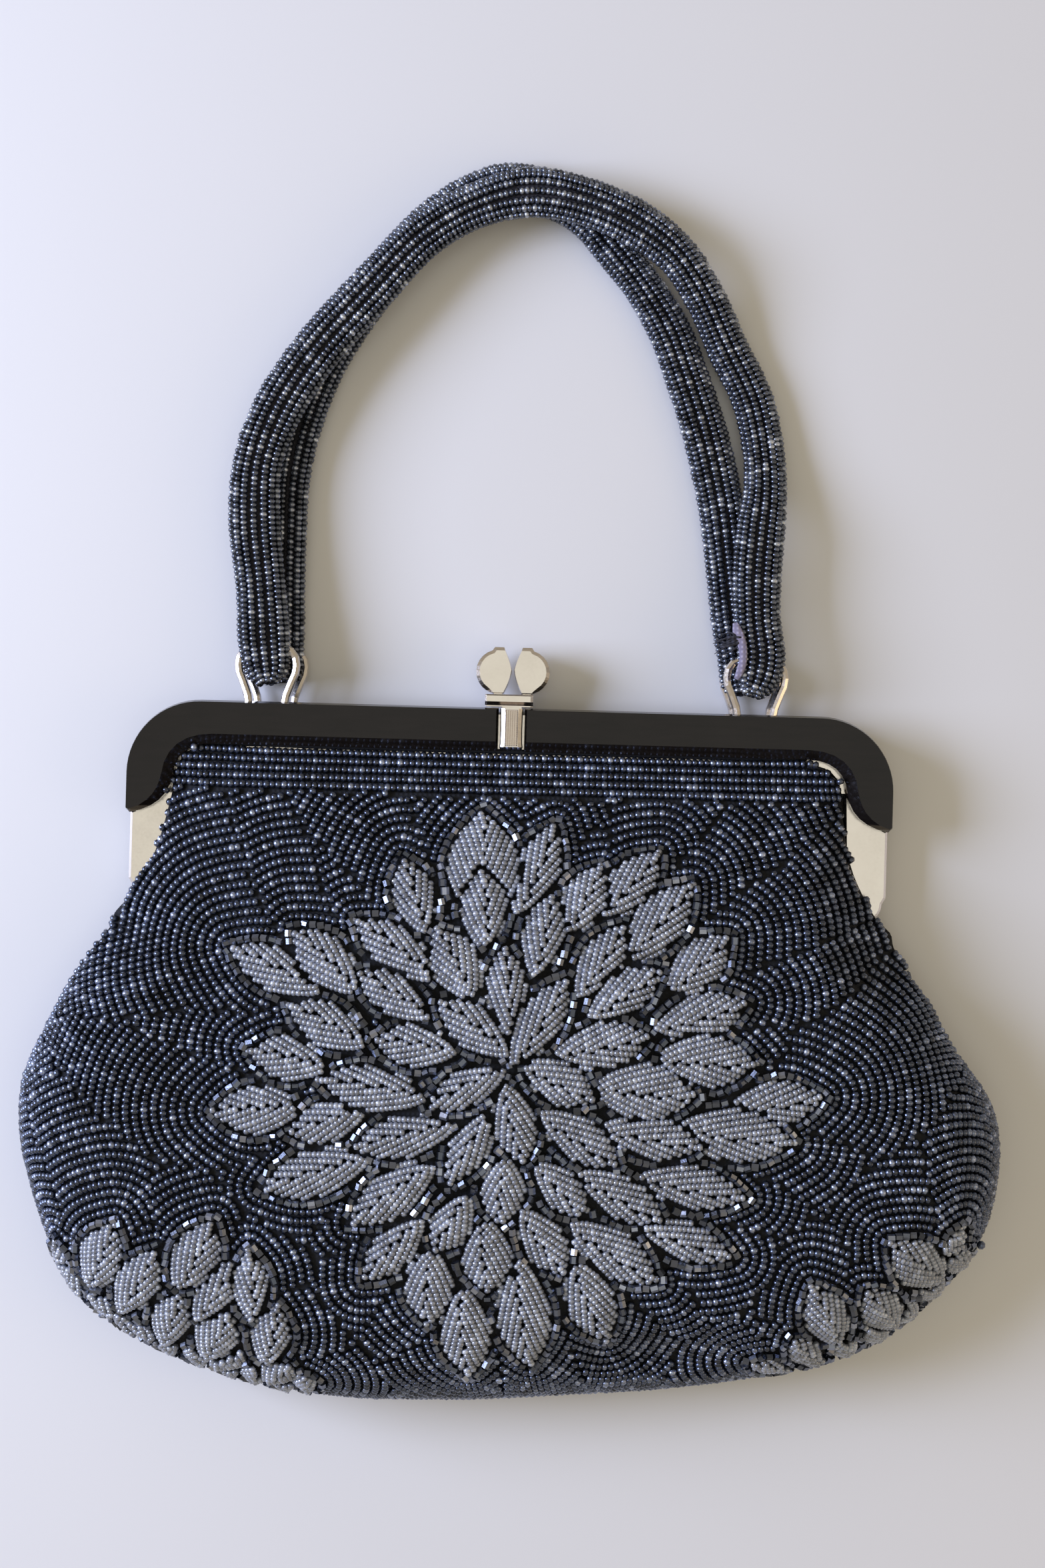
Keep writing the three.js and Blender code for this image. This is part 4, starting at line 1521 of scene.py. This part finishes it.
    CORNERS = (
        (-93.4, -135.7, -86.9, -120.1, 10.0), (-85.8, -141.4, -77.0, -125.3, 8.9),
        (-72.2, -134.4, -64.0, -118.4, 9.5), (-55.0, -141.0, -56.0, -124.7, 7.4),
        (-67.7, -141.6, -59.1, -127.5, 7.7), (-76.1, -149.1, -71.7, -135.0, 8.3),
        (-66.4, -151.9, -60.2, -139.1, 8.9), (-52.1, -152.1, -49.3, -137.1, 8.3),
        (-99.6, -135.9, -102.0, -126.0, 6.5), (-87.9, -144.0, -93.8, -137.4, 5.8),
        (-78.1, -149.1, -84.7, -143.9, 5.5), (-64.7, -154.6, -57.5, -148.6, 6.8),
        (-52.3, -157.5, -46.3, -151.5, 7.1), (-42.7, -159.4, -43.9, -154.5, 5.0),
        (102.9, -129.6, 88.9, -119.6, 10.2), (79.2, -144.1, 71.5, -129.5, 9.2),
        (92.8, -140.6, 83.8, -130.5, 8.9), (75.4, -150.0, 67.8, -142.8, 6.8),
        (68.2, -151.6, 58.8, -149.9, 5.0), (112.6, -125.2, 103.2, -118.6, 8.4),
        (109.5, -127.2, 103.6, -123.1, 6.6), (103.4, -133.6, 97.5, -129.5, 6.6),
        (97.2, -139.4, 92.0, -135.0, 6.6), (90.2, -144.6, 85.5, -139.5, 6.6),
        (82.5, -148.2, 79.5, -143.5, 6.0), (75.5, -151.0, 73.5, -146.5, 5.6),
        (-96.3, -139.2, -100.3, -131.5, 6.6), (-90.2, -144.0, -92.5, -137.5, 6.6),
        (-83.0, -148.2, -87.2, -142.0, 6.6), (-74.5, -152.0, -77.5, -146.5, 6.6),
        (-68.0, -154.4, -69.5, -149.0, 6.2), (-60.5, -156.9, -63.0, -151.5, 6.2),
        (-55.5, -158.2, -55.0, -153.0, 6.0), (-48.0, -159.6, -49.5, -155.0, 6.0),
    )

    def chart(self) -> Petals:
        """Unrolls the petals.

        Returns:
            The petals, the inner ones first because they lie on the outer ones.
        """
        rows = np.array(self.FLOWER + self.CORNERS)
        width = rows[:, 4] * self.width_share + self.width_added
        base = self.pouch.flat_of(rows[:, 0:2], Side.FRONT)
        tip = self.pouch.flat_of(rows[:, 2:4], Side.FRONT)
        order = np.argsort(np.linalg.norm(base - self.flower_middle, axis=1))
        return Petals(base[order], tip[order], width[order])

    def petal_beads(self, petals: Petals) -> tuple[BeadRun, Array]:
        """Strings every petal, leaving out what an inner petal covers.

        Args:
            petals: The chart.

        Returns:
            The beads, and which of them belong to the middle flower.
        """
        places, headings, lifts = [], [], []
        for k in range(len(petals.base)):
            flat, heading = petals.strings(k)
            shown = self.pouch.covers(flat, Side.FRONT)
            for j in range(k):
                shown &= ~petals.within(flat, j, self.petal_clear)
            places.append(flat[shown])
            headings.append(heading[shown])
            lifts.append(petals.lift(flat[shown], k))
        flat, heading, lift = np.concatenate(places), np.concatenate(headings), np.concatenate(lifts)
        run = self.pouch.run_of(flat, heading, Side.FRONT, self.bead_sunk)
        run.middles = run.middles + run.outward * (self.padding * lift)[:, None]
        run = self.pouch.trimmed(run, self.petal_least)
        return run, np.linalg.norm(run.middles[:, :2] - self.flower_centre, axis=1) < self.flower_reach

    def cut_beads(self, petals: Petals, gaps: DistanceField) -> tuple[Array, Array]:
        """Stands cut beads in lines round the petals, where no petal is in the way.

        Args:
            petals: The chart.
            gaps: Distances from the petals.

        Returns:
            The places and headings of the cut beads.
        """
        places = np.empty((0, 2))
        headings = np.empty(0)
        limit = self.band_top - self.band_gap * (self.band_rows - 1 + self.band_share)
        for distance in self.cut_lines:
            for k in range(len(petals.base)):
                flat, heading = petals.ring(k, distance, self.cut_pitch)
                if distance > self.cut_lines[0]:
                    crowd = np.linalg.norm(flat - self.crowd_middle, axis=1) < self.crowd_reach
                    flat, heading = flat[crowd], heading[crowd]
                clear = gaps.at(flat) > distance - self.cut_slack
                clear &= self.pouch.covers(flat, Side.FRONT)
                clear &= flat[:, 1] < limit
                flat, heading = flat[clear], heading[clear]
                if len(flat):
                    free = spaced(flat, places, *self.cut_clear)
                    places = np.vstack([places, flat[free]])
                    headings = np.concatenate([headings, heading[free]])
        return places, headings

    def field_rows(self, petals: Petals, gaps: DistanceField, taken: Array) -> tuple[Array, Array]:
        """Rows of seed beads: straight ones under the frame, then rows at equal steps from the petals.

        Args:
            petals: The chart.
            gaps: Distances from the petals.
            taken: Places of the cut beads.

        Returns:
            The places and headings of the seed beads.
        """
        placed, headings = [], []
        for row in range(self.band_rows):
            x = np.arange(*self.band_ends, self.seed_pitch) + self.random.uniform(0.0, 1.0)
            flat = np.column_stack([x, np.full(len(x), self.band_top - row * self.band_gap)])
            flat = flat[self.pouch.covers(flat, Side.FRONT)]
            placed.append(flat)
            headings.append(np.zeros(len(flat)))
        limit = self.band_top - self.band_gap * (self.band_rows - 1) - self.band_clear
        known = np.vstack([taken, *placed])
        for level in range(self.most_rows):
            distance = self.first_row + self.row_gap * level
            found, turned = [], []
            for k in range(len(petals.base)):
                flat, heading = petals.ring(k, distance, self.seed_pitch)
                clear = (gaps.at(flat) > distance - self.seed_slack) & (flat[:, 1] < limit)
                found.append(flat[clear])
                turned.append(heading[clear])
            flat, heading = np.concatenate(found), np.concatenate(turned)
            if not len(flat):
                break
            shown = self.pouch.covers(flat, Side.FRONT)
            flat, heading = flat[shown], heading[shown]
            if not len(flat):
                continue
            free = spaced(flat, known[-self.checked:], *self.seed_clear)
            placed.append(flat[free])
            headings.append(heading[free])
            known = np.vstack([known, flat[free]])
        return np.concatenate(placed), np.concatenate(headings)

    def back_rows(self) -> tuple[Array, Array]:
        """Lays plain rows across the back, each shifted by a random part of a bead.

        Returns:
            The places and headings of the seed beads.
        """
        rows = np.arange(self.back_low, self.band_top, self.row_gap)
        x = np.arange(*self.back_ends, self.seed_pitch)
        shift = self.random.uniform(0.0, self.seed_pitch, len(rows))
        flat = np.column_stack([(x + shift[:, None]).ravel(), np.repeat(rows, len(x))])
        flat = flat[self.pouch.covers(flat, Side.BACK, self.back_margin)]
        return flat, np.zeros(len(flat))

    def _show(self, run: BeadRun, form: BeadForm, names: dict[str, Array]) -> None:
        """Makes pieces of seed beads.

        Args:
            run: The beads.
            form: The bead.
            names: Which of them each piece has.
        """
        for name, mask in names.items():
            show(run.chosen(mask).piece(name, form, self.finishes.seed, self.random))

    def build(self) -> None:
        """Makes every bead piece of the pouch."""
        petals = self.chart()
        gaps = DistanceField()
        gaps.fill(petals.covered)
        pearls, middle = self.petal_beads(petals)
        for name, mask in (("flower_petal_beads", middle), ("corner_petal_beads", ~middle)):
            run = pearls.chosen(mask)
            beads = run.piece(name, self.pearl, self.finishes.pearl, self.random, *self.pearl_uneven)
            show(beads)
        taken, heading = self.cut_beads(petals, gaps)
        run = self.pouch.run_of(taken, heading, Side.FRONT, self.cut_sunk)
        run = self.pouch.trimmed(run, self.cut_least)
        beads = run.piece(
            "cut_beads", self.cut, self.finishes.cut, self.random, *self.cut_uneven, rounded=False
        )
        show(beads)
        flat, heading = self.field_rows(petals, gaps, taken)
        run = self.pouch.trimmed(self.pouch.run_of(flat, heading, Side.FRONT, self.bead_sunk))
        left = run.middles[:, 0] < 0.0
        self._show(run, self.seed, {"field_beads_left": left, "field_beads_right": ~left})
        flat, heading = self.back_rows()
        run = self.pouch.trimmed(self.pouch.run_of(flat, heading, Side.BACK, self.back_sunk))
        left = run.middles[:, 0] < 0.0
        self._show(run, self.back_seed, {"back_beads_left": left, "back_beads_right": ~left})


@dataclass
class Band:
    """A soft band along a line, given by rows of x, y, z and width."""

    name: str
    rows: Sequence[Sequence[float]]
    thickness: float

    # How far the cloth lies inside the envelope, its points round a section, and how many steps along
    # the line there are from one section to the next
    cloth_depth: float = 0.0
    sides: int = 8
    stride: int = 1
    step: float = 0.7

    # The power in the section's formula, the share of the thickness that the ends have, and how far
    # from them it is full
    squareness: float = 0.85
    end_share: float = 0.72
    end_run: float = 3.0

    def __post_init__(self) -> None:
        """Runs a curve through the rows, with its directions along, beside and upward."""
        self.line = spline(self.rows, self.step)
        run = np.gradient(self.line[:, :3], axis=0)
        self.along = unit(run)
        self.beside = unit(np.stack([-run[:, 1], run[:, 0], np.zeros(len(run))], axis=1))
        self.upward = unit(np.cross(self.along, self.beside))

    def section(self, turn: Array, sunk: float) -> Array:
        """Points round the band at every place along it.

        The point at a turn is the half width times the cosine, to a power a little under one, to the
        side, and half the thickness times the sine likewise upward, so the section is a rounded oblong.

        Args:
            turn: Angles round the band.
            sunk: How far inside the envelope the points are.

        Returns:
            An array of places along by turns by three.
        """
        numbers = np.arange(len(self.line))
        ends = np.minimum(numbers, numbers[::-1]) * self.step
        taper = self.end_share + (1.0 - self.end_share) * ease(ends / self.end_run)
        half = self.line[:, 3] / 2.0 - sunk
        high = np.minimum(self.thickness, self.line[:, 3]) / 2.0 * taper - sunk
        side = np.sign(np.cos(turn)) * np.abs(np.cos(turn)) ** self.squareness
        rise = np.sign(np.sin(turn)) * np.abs(np.sin(turn)) ** self.squareness
        return (
            self.line[:, None, :3]
            + self.beside[:, None] * (half[:, None] * side)[..., None]
            + self.upward[:, None] * (high[:, None] * rise)[..., None]
        )

    def surface(self) -> tuple[Array, Array, Array]:
        """Joins the sections into one closed surface.

        Returns:
            The points, the corners of the faces, and how many corners each face has.
        """
        sides = self.sides
        turn = 2.0 * np.pi * np.arange(sides) / sides
        rings = self.section(turn, self.cloth_depth)[:: self.stride]
        count = len(rings)
        points = np.vstack([rings.reshape(-1, 3), rings[0].mean(axis=0), rings[-1].mean(axis=0)])
        here = np.arange(sides)
        following = (here + 1) % sides
        ring = np.arange(count - 1)[:, None] * sides
        ahead = ring + sides
        quads = np.stack([ahead + here, ahead + following, ring + following, ring + here], axis=2)
        quads = quads.reshape(-1, 4)
        last = (count - 1) * sides
        start = np.stack([here, following, np.full(sides, len(points) - 2)], axis=1)
        end = np.stack([last + following, last + here, np.full(sides, len(points) - 1)], axis=1)
        return points, *listed(quads, start, end)

    def cloth(self, material: bpy.types.Material) -> bpy.types.Object:
        """Makes the band's closed cloth surface."""
        return mesh_piece(self.name, *self.surface(), material)


@dataclass
class Strap(Band):
    """One handle strap: a stuffed cloth tube with rows of beads along it."""

    thickness: float = 6.2
    cloth_depth: float = 1.45
    sides: int = 20
    stride: int = 2
    node: str = ""
    bead_rows: int = 13
    bead_sunk: float = 0.95
    usual_half_width: float = 6.0
    pitch: float = 1.26

    # Where the first row stands, as a share of the step between rows, the range in which a row's first
    # bead lies, and how far before the strap's end the last one has to be
    first_row: float = 0.25
    row_start: tuple[float, float] = (0.3, 1.2)
    row_end: float = 0.5

    bead: BeadForm = BeadForm(1.2, 1.0, 6, neck=0.66, dimple=0.3)

    def beads(self, random: np.random.Generator) -> BeadRun:
        """Strings the rows of beads.

        The rows stand at equal steps round the section. Along each row the beads are at equal steps of
        its own length, so the outside of a bend has more of them.

        Args:
            random: Where each row's start comes from.

        Returns:
            All the beads.
        """
        fine = np.linspace(0.0, 2.0 * np.pi, 721)
        half_width, half_height = self.usual_half_width, self.thickness / 2.0
        lengths = lengths_of(np.stack([half_width * np.cos(fine), half_height * np.sin(fine)], axis=1))
        shares = (np.arange(self.bead_rows) + self.first_row) / self.bead_rows
        turns = np.interp(shares * lengths[-1], lengths, fine)
        rows = self.section(turns, self.bead_sunk)
        outer = self.section(turns, 0.0)
        middles, along, outward = [], [], []
        for k in range(self.bead_rows):
            row = rows[:, k]
            lengths = lengths_of(row)
            wanted = np.arange(random.uniform(*self.row_start), lengths[-1] - self.row_end, self.pitch)
            place = read_at(wanted, lengths, row)
            middles.append(place)
            along.append(unit(np.gradient(place, axis=0)))
            outward.append(unit(read_at(wanted, lengths, outer[:, k] - row)))
        return BeadRun(np.concatenate(middles), np.concatenate(along), np.concatenate(outward))

    def build(self, finishes: Finishes, random: np.random.Generator) -> None:
        """Makes the strap's cloth and beads.

        Args:
            finishes: The materials.
            random: Where the unevenness comes from.
        """
        cloth = show(self.cloth(finishes.strap), [self.node])
        name = self.name.replace("cloth", "beads")
        show(self.beads(random).piece(name, self.bead, finishes.handle, random))


@dataclass
class Handle:
    """The two straps, and the worn tape and threads at the front one's right end."""

    finishes: Finishes
    random: np.random.Generator

    # Middle line of each strap: x, y, z and width
    FRONT = (
        (-57.4, 4.4, 12, 6), (-57.8, 6.6, 12, 10.4), (-58.7, 13, 12, 12.6), (-60.1, 27, 10.6, 12.2),
        (-62.1, 43, 10, 12.8), (-61.6, 57, 9.9, 12.2), (-57, 70, 9.8, 12.4), (-48.5, 83.5, 9.8, 12.2),
        (-36.6, 97.5, 9.8, 12), (-24, 111.2, 9.8, 11.4), (-12, 118.6, 9.8, 11.2), (1, 122.2, 9.8, 12.4),
        (14, 120.4, 9.8, 11.8), (26, 115.6, 9.8, 11.6), (35.6, 109, 9.2, 10.6), (43, 99.4, 6.8, 10.2),
        (49.1, 87.7, 4.4, 10.4), (55.6, 75.2, 3.6, 10.5), (58.4, 63, 4.4, 10.4), (58.8, 53, 7, 10.8),
        (57.8, 44, 9.6, 11.9), (57.1, 33, 10.2, 12), (57.3, 22.5, 11.2, 11.4), (58.4, 13.8, 12, 11.8),
        (57.8, 9, 12, 11.2), (56.8, 5.9, 12, 8), (56.4, 4.4, 12, 4.6),
    )
    BACK = (
        (-56, 4.8, 3.3, 8), (-56.1, 6.8, 3.3, 11.4), (-56, 15, 3.3, 12.1), (-56.2, 28.2, 3.2, 12.1),
        (-56.2, 41.8, 3.2, 12.2), (-55.9, 54.4, 3.2, 12.6), (-53.2, 68, 3.2, 12.8), (-47, 83, 3.2, 12),
        (-34.6, 101.4, 3.2, 11), (-23.4, 114.8, 3.2, 11.3), (-13.9, 122, 3.2, 11),
        (-4.6, 125.4, 3.2, 11.2), (5, 123.8, 3.2, 11.4), (14.9, 118.2, 3.2, 10.6),
        (21.3, 111.1, 3.2, 10.4), (28.5, 102.2, 3.2, 10), (35.1, 91.8, 3.2, 10.8),
        (39.6, 80.8, 3.2, 11), (43.1, 71.2, 3.2, 11.3), (45.9, 61.9, 3.2, 11.4),
        (48.8, 49.5, 3.2, 11.5), (51, 35.6, 3.2, 11.7), (52.8, 22.4, 3.2, 11.8),
        (54.6, 13.4, 3.3, 11.8), (55.6, 7, 3.3, 11.4), (55.8, 4.8, 3.3, 8),
    )

    # The same for the tape laid along the front strap's edge
    TAPE = (
        (51.9, 21.4, 14.0, 1.2), (52.5, 19.2, 14.6, 2.4), (53.6, 16.2, 15.0, 2.1),
        (53.9, 13.0, 15.1, 1.8), (53.4, 10.4, 14.9, 1.9), (52.5, 8.2, 14.2, 1.2),
    )
    TAPE_THICKNESS = 0.5

    # Loose threads: how many, their start, widths at the start, bend and end, and their thickness
    THREADS = 22
    THREAD_START = (52.9, 17.2, 14.9)
    THREAD_WIDTHS = (0.62, 0.46, 0.16)
    THREAD_THICKNESS = 0.4

    # Ranges of their direction and reach, how far they fall as a share of that, how unevenly they start
    # and bend, with the share of it along x, y and z, and how far the bends are lifted
    THREAD_TURN = (-0.55, 0.5)
    THREAD_REACH = (2.0, 6.6)
    THREAD_FALL = 0.25
    START_UNEVEN = 0.4
    START_SPREAD = (1.0, 1.8, 0.2)
    BEND_UNEVEN = 0.5
    BEND_SPREAD = (0.6, 1.0, 0.4)
    BEND_LIFT = (0.0, 0.0, 0.5)

    def threads(self) -> bpy.types.Object:
        """Makes loose threads that leave the tape to the left, each a thin band that bends at random.

        Returns:
            One object with all of them.
        """
        count = self.THREADS
        turn = self.random.uniform(*self.THREAD_TURN, count)
        reach = self.random.uniform(*self.THREAD_REACH, count)
        stray = self.random.normal(0.0, self.START_UNEVEN, (count, 3)) * self.START_SPREAD
        start = np.array(self.THREAD_START) + stray
        fall = -self.THREAD_FALL * reach
        end = start + np.column_stack([-reach * np.cos(turn), reach * np.sin(turn), fall])
        stray = self.random.normal(0.0, self.BEND_UNEVEN, (count, 3)) * self.BEND_SPREAD
        bend = (start + end) / 2.0 + (stray + self.BEND_LIFT)
        parts = []
        for points in zip(start, bend, end):
            rows = np.column_stack([np.stack(points), self.THREAD_WIDTHS])
            parts.append(Band("thread", rows, self.THREAD_THICKNESS, sides=5).surface())
        return mesh_piece("strap_threads", *joined(parts), self.finishes.thread)

    def build(self) -> None:
        """Makes both straps, the tape and the threads."""
        Strap("front_strap_cloth", self.FRONT, node="strap_front").build(self.finishes, self.random)
        Strap("back_strap_cloth", self.BACK, node="strap_back").build(self.finishes, self.random)
        tape = Band("strap_tape", self.TAPE, self.TAPE_THICKNESS)
        show(tape.cloth(self.finishes.tape))
        show(self.threads())


@dataclass
class Binding:
    """The dark cord over the frame's rim, along the top of the pouch and round its left corner."""

    finishes: Finishes
    thickness: float = 1.2

    # Places along it: x, y, z and width
    ROWS = (
        (70.0, -10.3, 10.9, 0.5), (66.0, -10.25, 10.95, 1.2), (40.0, -10.25, 10.95, 1.2),
        (0.0, -10.25, 10.95, 1.2), (-40.0, -10.25, 10.95, 1.2), (-71.6, -10.3, 10.95, 1.3),
        (-76.8, -11.4, 10.95, 1.5), (-79.8, -15.0, 10.95, 1.5), (-80.9, -19.4, 10.95, 1.0),
    )

    def build(self) -> None:
        """Makes the cord."""
        cord = Band("mouth_binding", self.ROWS, self.thickness)
        show(cord.cloth(self.finishes.cloth))


@dataclass
class Hardware:
    """The frame, covers, clasp, pins and loops of the fixed model, and the knurled face of the clasp."""

    finishes: Finishes
    columns: int = 6
    rows: int = 20
    half_width: float = 1.5
    top: float = -0.4
    bottom: float = -9.0
    face: float = 15.18
    height: float = 0.28
    depth: float = 0.4

    def knurl(self) -> bpy.types.Object:
        """Makes the clasp's knurled face: a grid of small four-sided points on a thin slab.

        Each point stands at the middle of its cell, and the cells' corners are on the face, so the top
        is one sheet of slopes; a flat sheet below it, joined round the edge, closes the slab.

        Returns:
            The slab.
        """
        x = np.linspace(-self.half_width, self.half_width, self.columns + 1)
        y = np.linspace(self.bottom, self.top, self.rows + 1)
        gx, gy = np.meshgrid(x, y)
        nodes = np.column_stack([gx.ravel(), gy.ravel(), np.full(gx.size, self.face)])
        mx, my = np.meshgrid((x[1:] + x[:-1]) / 2.0, (y[1:] + y[:-1]) / 2.0)
        peaks = np.column_stack([mx.ravel(), my.ravel(), np.full(mx.size, self.face + self.height)])
        below = nodes - (0.0, 0.0, self.depth)
        wide = self.columns + 1
        i, j = np.meshgrid(np.arange(self.columns), np.arange(self.rows))
        a = (j * wide + i).ravel()
        b, c, d = a + 1, a + wide + 1, a + wide
        peak = len(nodes) + np.arange(len(a))
        edges = ((a, b), (b, c), (c, d), (d, a))
        slopes = np.concatenate([np.stack([*pair, peak], axis=1) for pair in edges])
        under = len(nodes) + len(peaks)
        floor = np.stack([d, c, b, a], axis=1) + under
        edge = np.concatenate([
            np.arange(wide),
            np.arange(1, self.rows + 1) * wide + self.columns,
            self.rows * wide + np.arange(self.columns - 1, -1, -1),
            np.arange(self.rows - 1, -1, -1) * wide,
        ])
        walls = np.stack([edge[:-1], edge[:-1] + under, edge[1:] + under, edge[1:]], axis=1)
        points = np.vstack([nodes, peaks, below])
        faces = listed(slopes, floor, walls)
        return mesh_piece("clasp_knurl", points, *faces, self.finishes.nickel, rounded=False)

    def build(self) -> None:
        """Gives the fixed pieces their finishes and adds the knurled face."""
        for name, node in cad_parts.items():
            if name.startswith(("pouch", "strap")):
                continue
            finish = self.finishes.cover if name.startswith("cover") else self.finishes.nickel
            node.data.materials.clear()
            node.data.materials.append(finish)
        show(self.knurl())


@dataclass
class Studio:
    """The table, the lights and the camera, in metres in the model's own axes."""

    camera_place: tuple[float, float, float] = (0.00088, -0.00189, 0.535)
    roll: float = math.radians(1.57)
    view_angle: float = math.radians(38.93)
    table_half: float = 2.0
    room_colour: Colour = (1.0, 0.87, 0.66)
    room_strength: float = 0.42

    # Name, middle, side, watts and colour of each soft light
    LIGHTS = (
        ("window", (-0.85, 0.12, 0.5), 0.5, 14.8, (0.62, 0.70, 0.98)),
        ("lamp", (0.9, -0.2, 0.5), 0.5, 1.1, (1.0, 0.74, 0.46)),
        ("ceiling", (0.1, -0.1, 1.3), 1.0, 1.5, (0.92, 1.0, 0.98)),
    )

    def camera(self) -> None:
        """Looks straight down from the height the photo was taken from."""
        lens = bpy.data.cameras.new("camera")
        lens.sensor_fit = "VERTICAL"
        lens.angle = self.view_angle
        holder = bpy.data.objects.new("camera", lens)
        holder.location = self.camera_place
        holder.rotation_euler = (0.0, 0.0, self.roll)
        bpy.context.scene.collection.objects.link(holder)
        bpy.context.scene.camera = holder

    def table(self) -> None:
        """A wide pale table top."""
        mesh = bpy.data.meshes.new("table")
        half = self.table_half
        corners = [(-half, -half, 0), (half, -half, 0), (half, half, 0), (-half, half, 0)]
        mesh.from_pydata(corners, [], [(0, 1, 2, 3)])
        mesh.materials.append(TableFinish().material())
        top = bpy.data.objects.new("table", mesh)
        bpy.context.scene.collection.objects.link(top)

    def light(
        self, name: str, place: tuple[float, float, float], size: float, power: float, colour: Colour
    ) -> None:
        """A square soft light that faces the bag.

        Args:
            name: Its name.
            place: Its middle.
            size: Its side.
            power: Watts.
            colour: Its colour.
        """
        lamp = bpy.data.lights.new(name, "AREA")
        lamp.size = size
        lamp.energy = power
        lamp.color = colour
        holder = bpy.data.objects.new(name, lamp)
        holder.location = place
        x, y, z = place
        holder.rotation_euler = (math.atan2(math.hypot(x, y), z), 0.0, math.atan2(x, -y))
        bpy.context.scene.collection.objects.link(holder)

    def build(self) -> None:
        """Sets up everything round the bag."""
        self.camera()
        self.table()
        for light in self.LIGHTS:
            self.light(*light)
        world = bpy.data.worlds.new("room")
        world.use_nodes = True
        backdrop = world.node_tree.nodes["Background"]
        backdrop.inputs["Color"].default_value = (*self.room_colour, 1.0)
        backdrop.inputs["Strength"].default_value = self.room_strength
        bpy.context.scene.world = world
        bpy.context.scene.view_settings.view_transform = "Standard"


def main() -> None:
    """Builds the bag and its studio."""
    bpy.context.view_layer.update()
    random = np.random.default_rng(RANDOM_START)
    Studio().build()
    finishes = Finishes()
    pouch = Pouch()
    show(pouch.cloth(finishes.cloth), ["pouch"])
    Embroidery(pouch, finishes, random).build()
    Binding(finishes).build()
    Handle(finishes, random).build()
    Hardware(finishes).build()


if __name__ == "__main__":
    main()
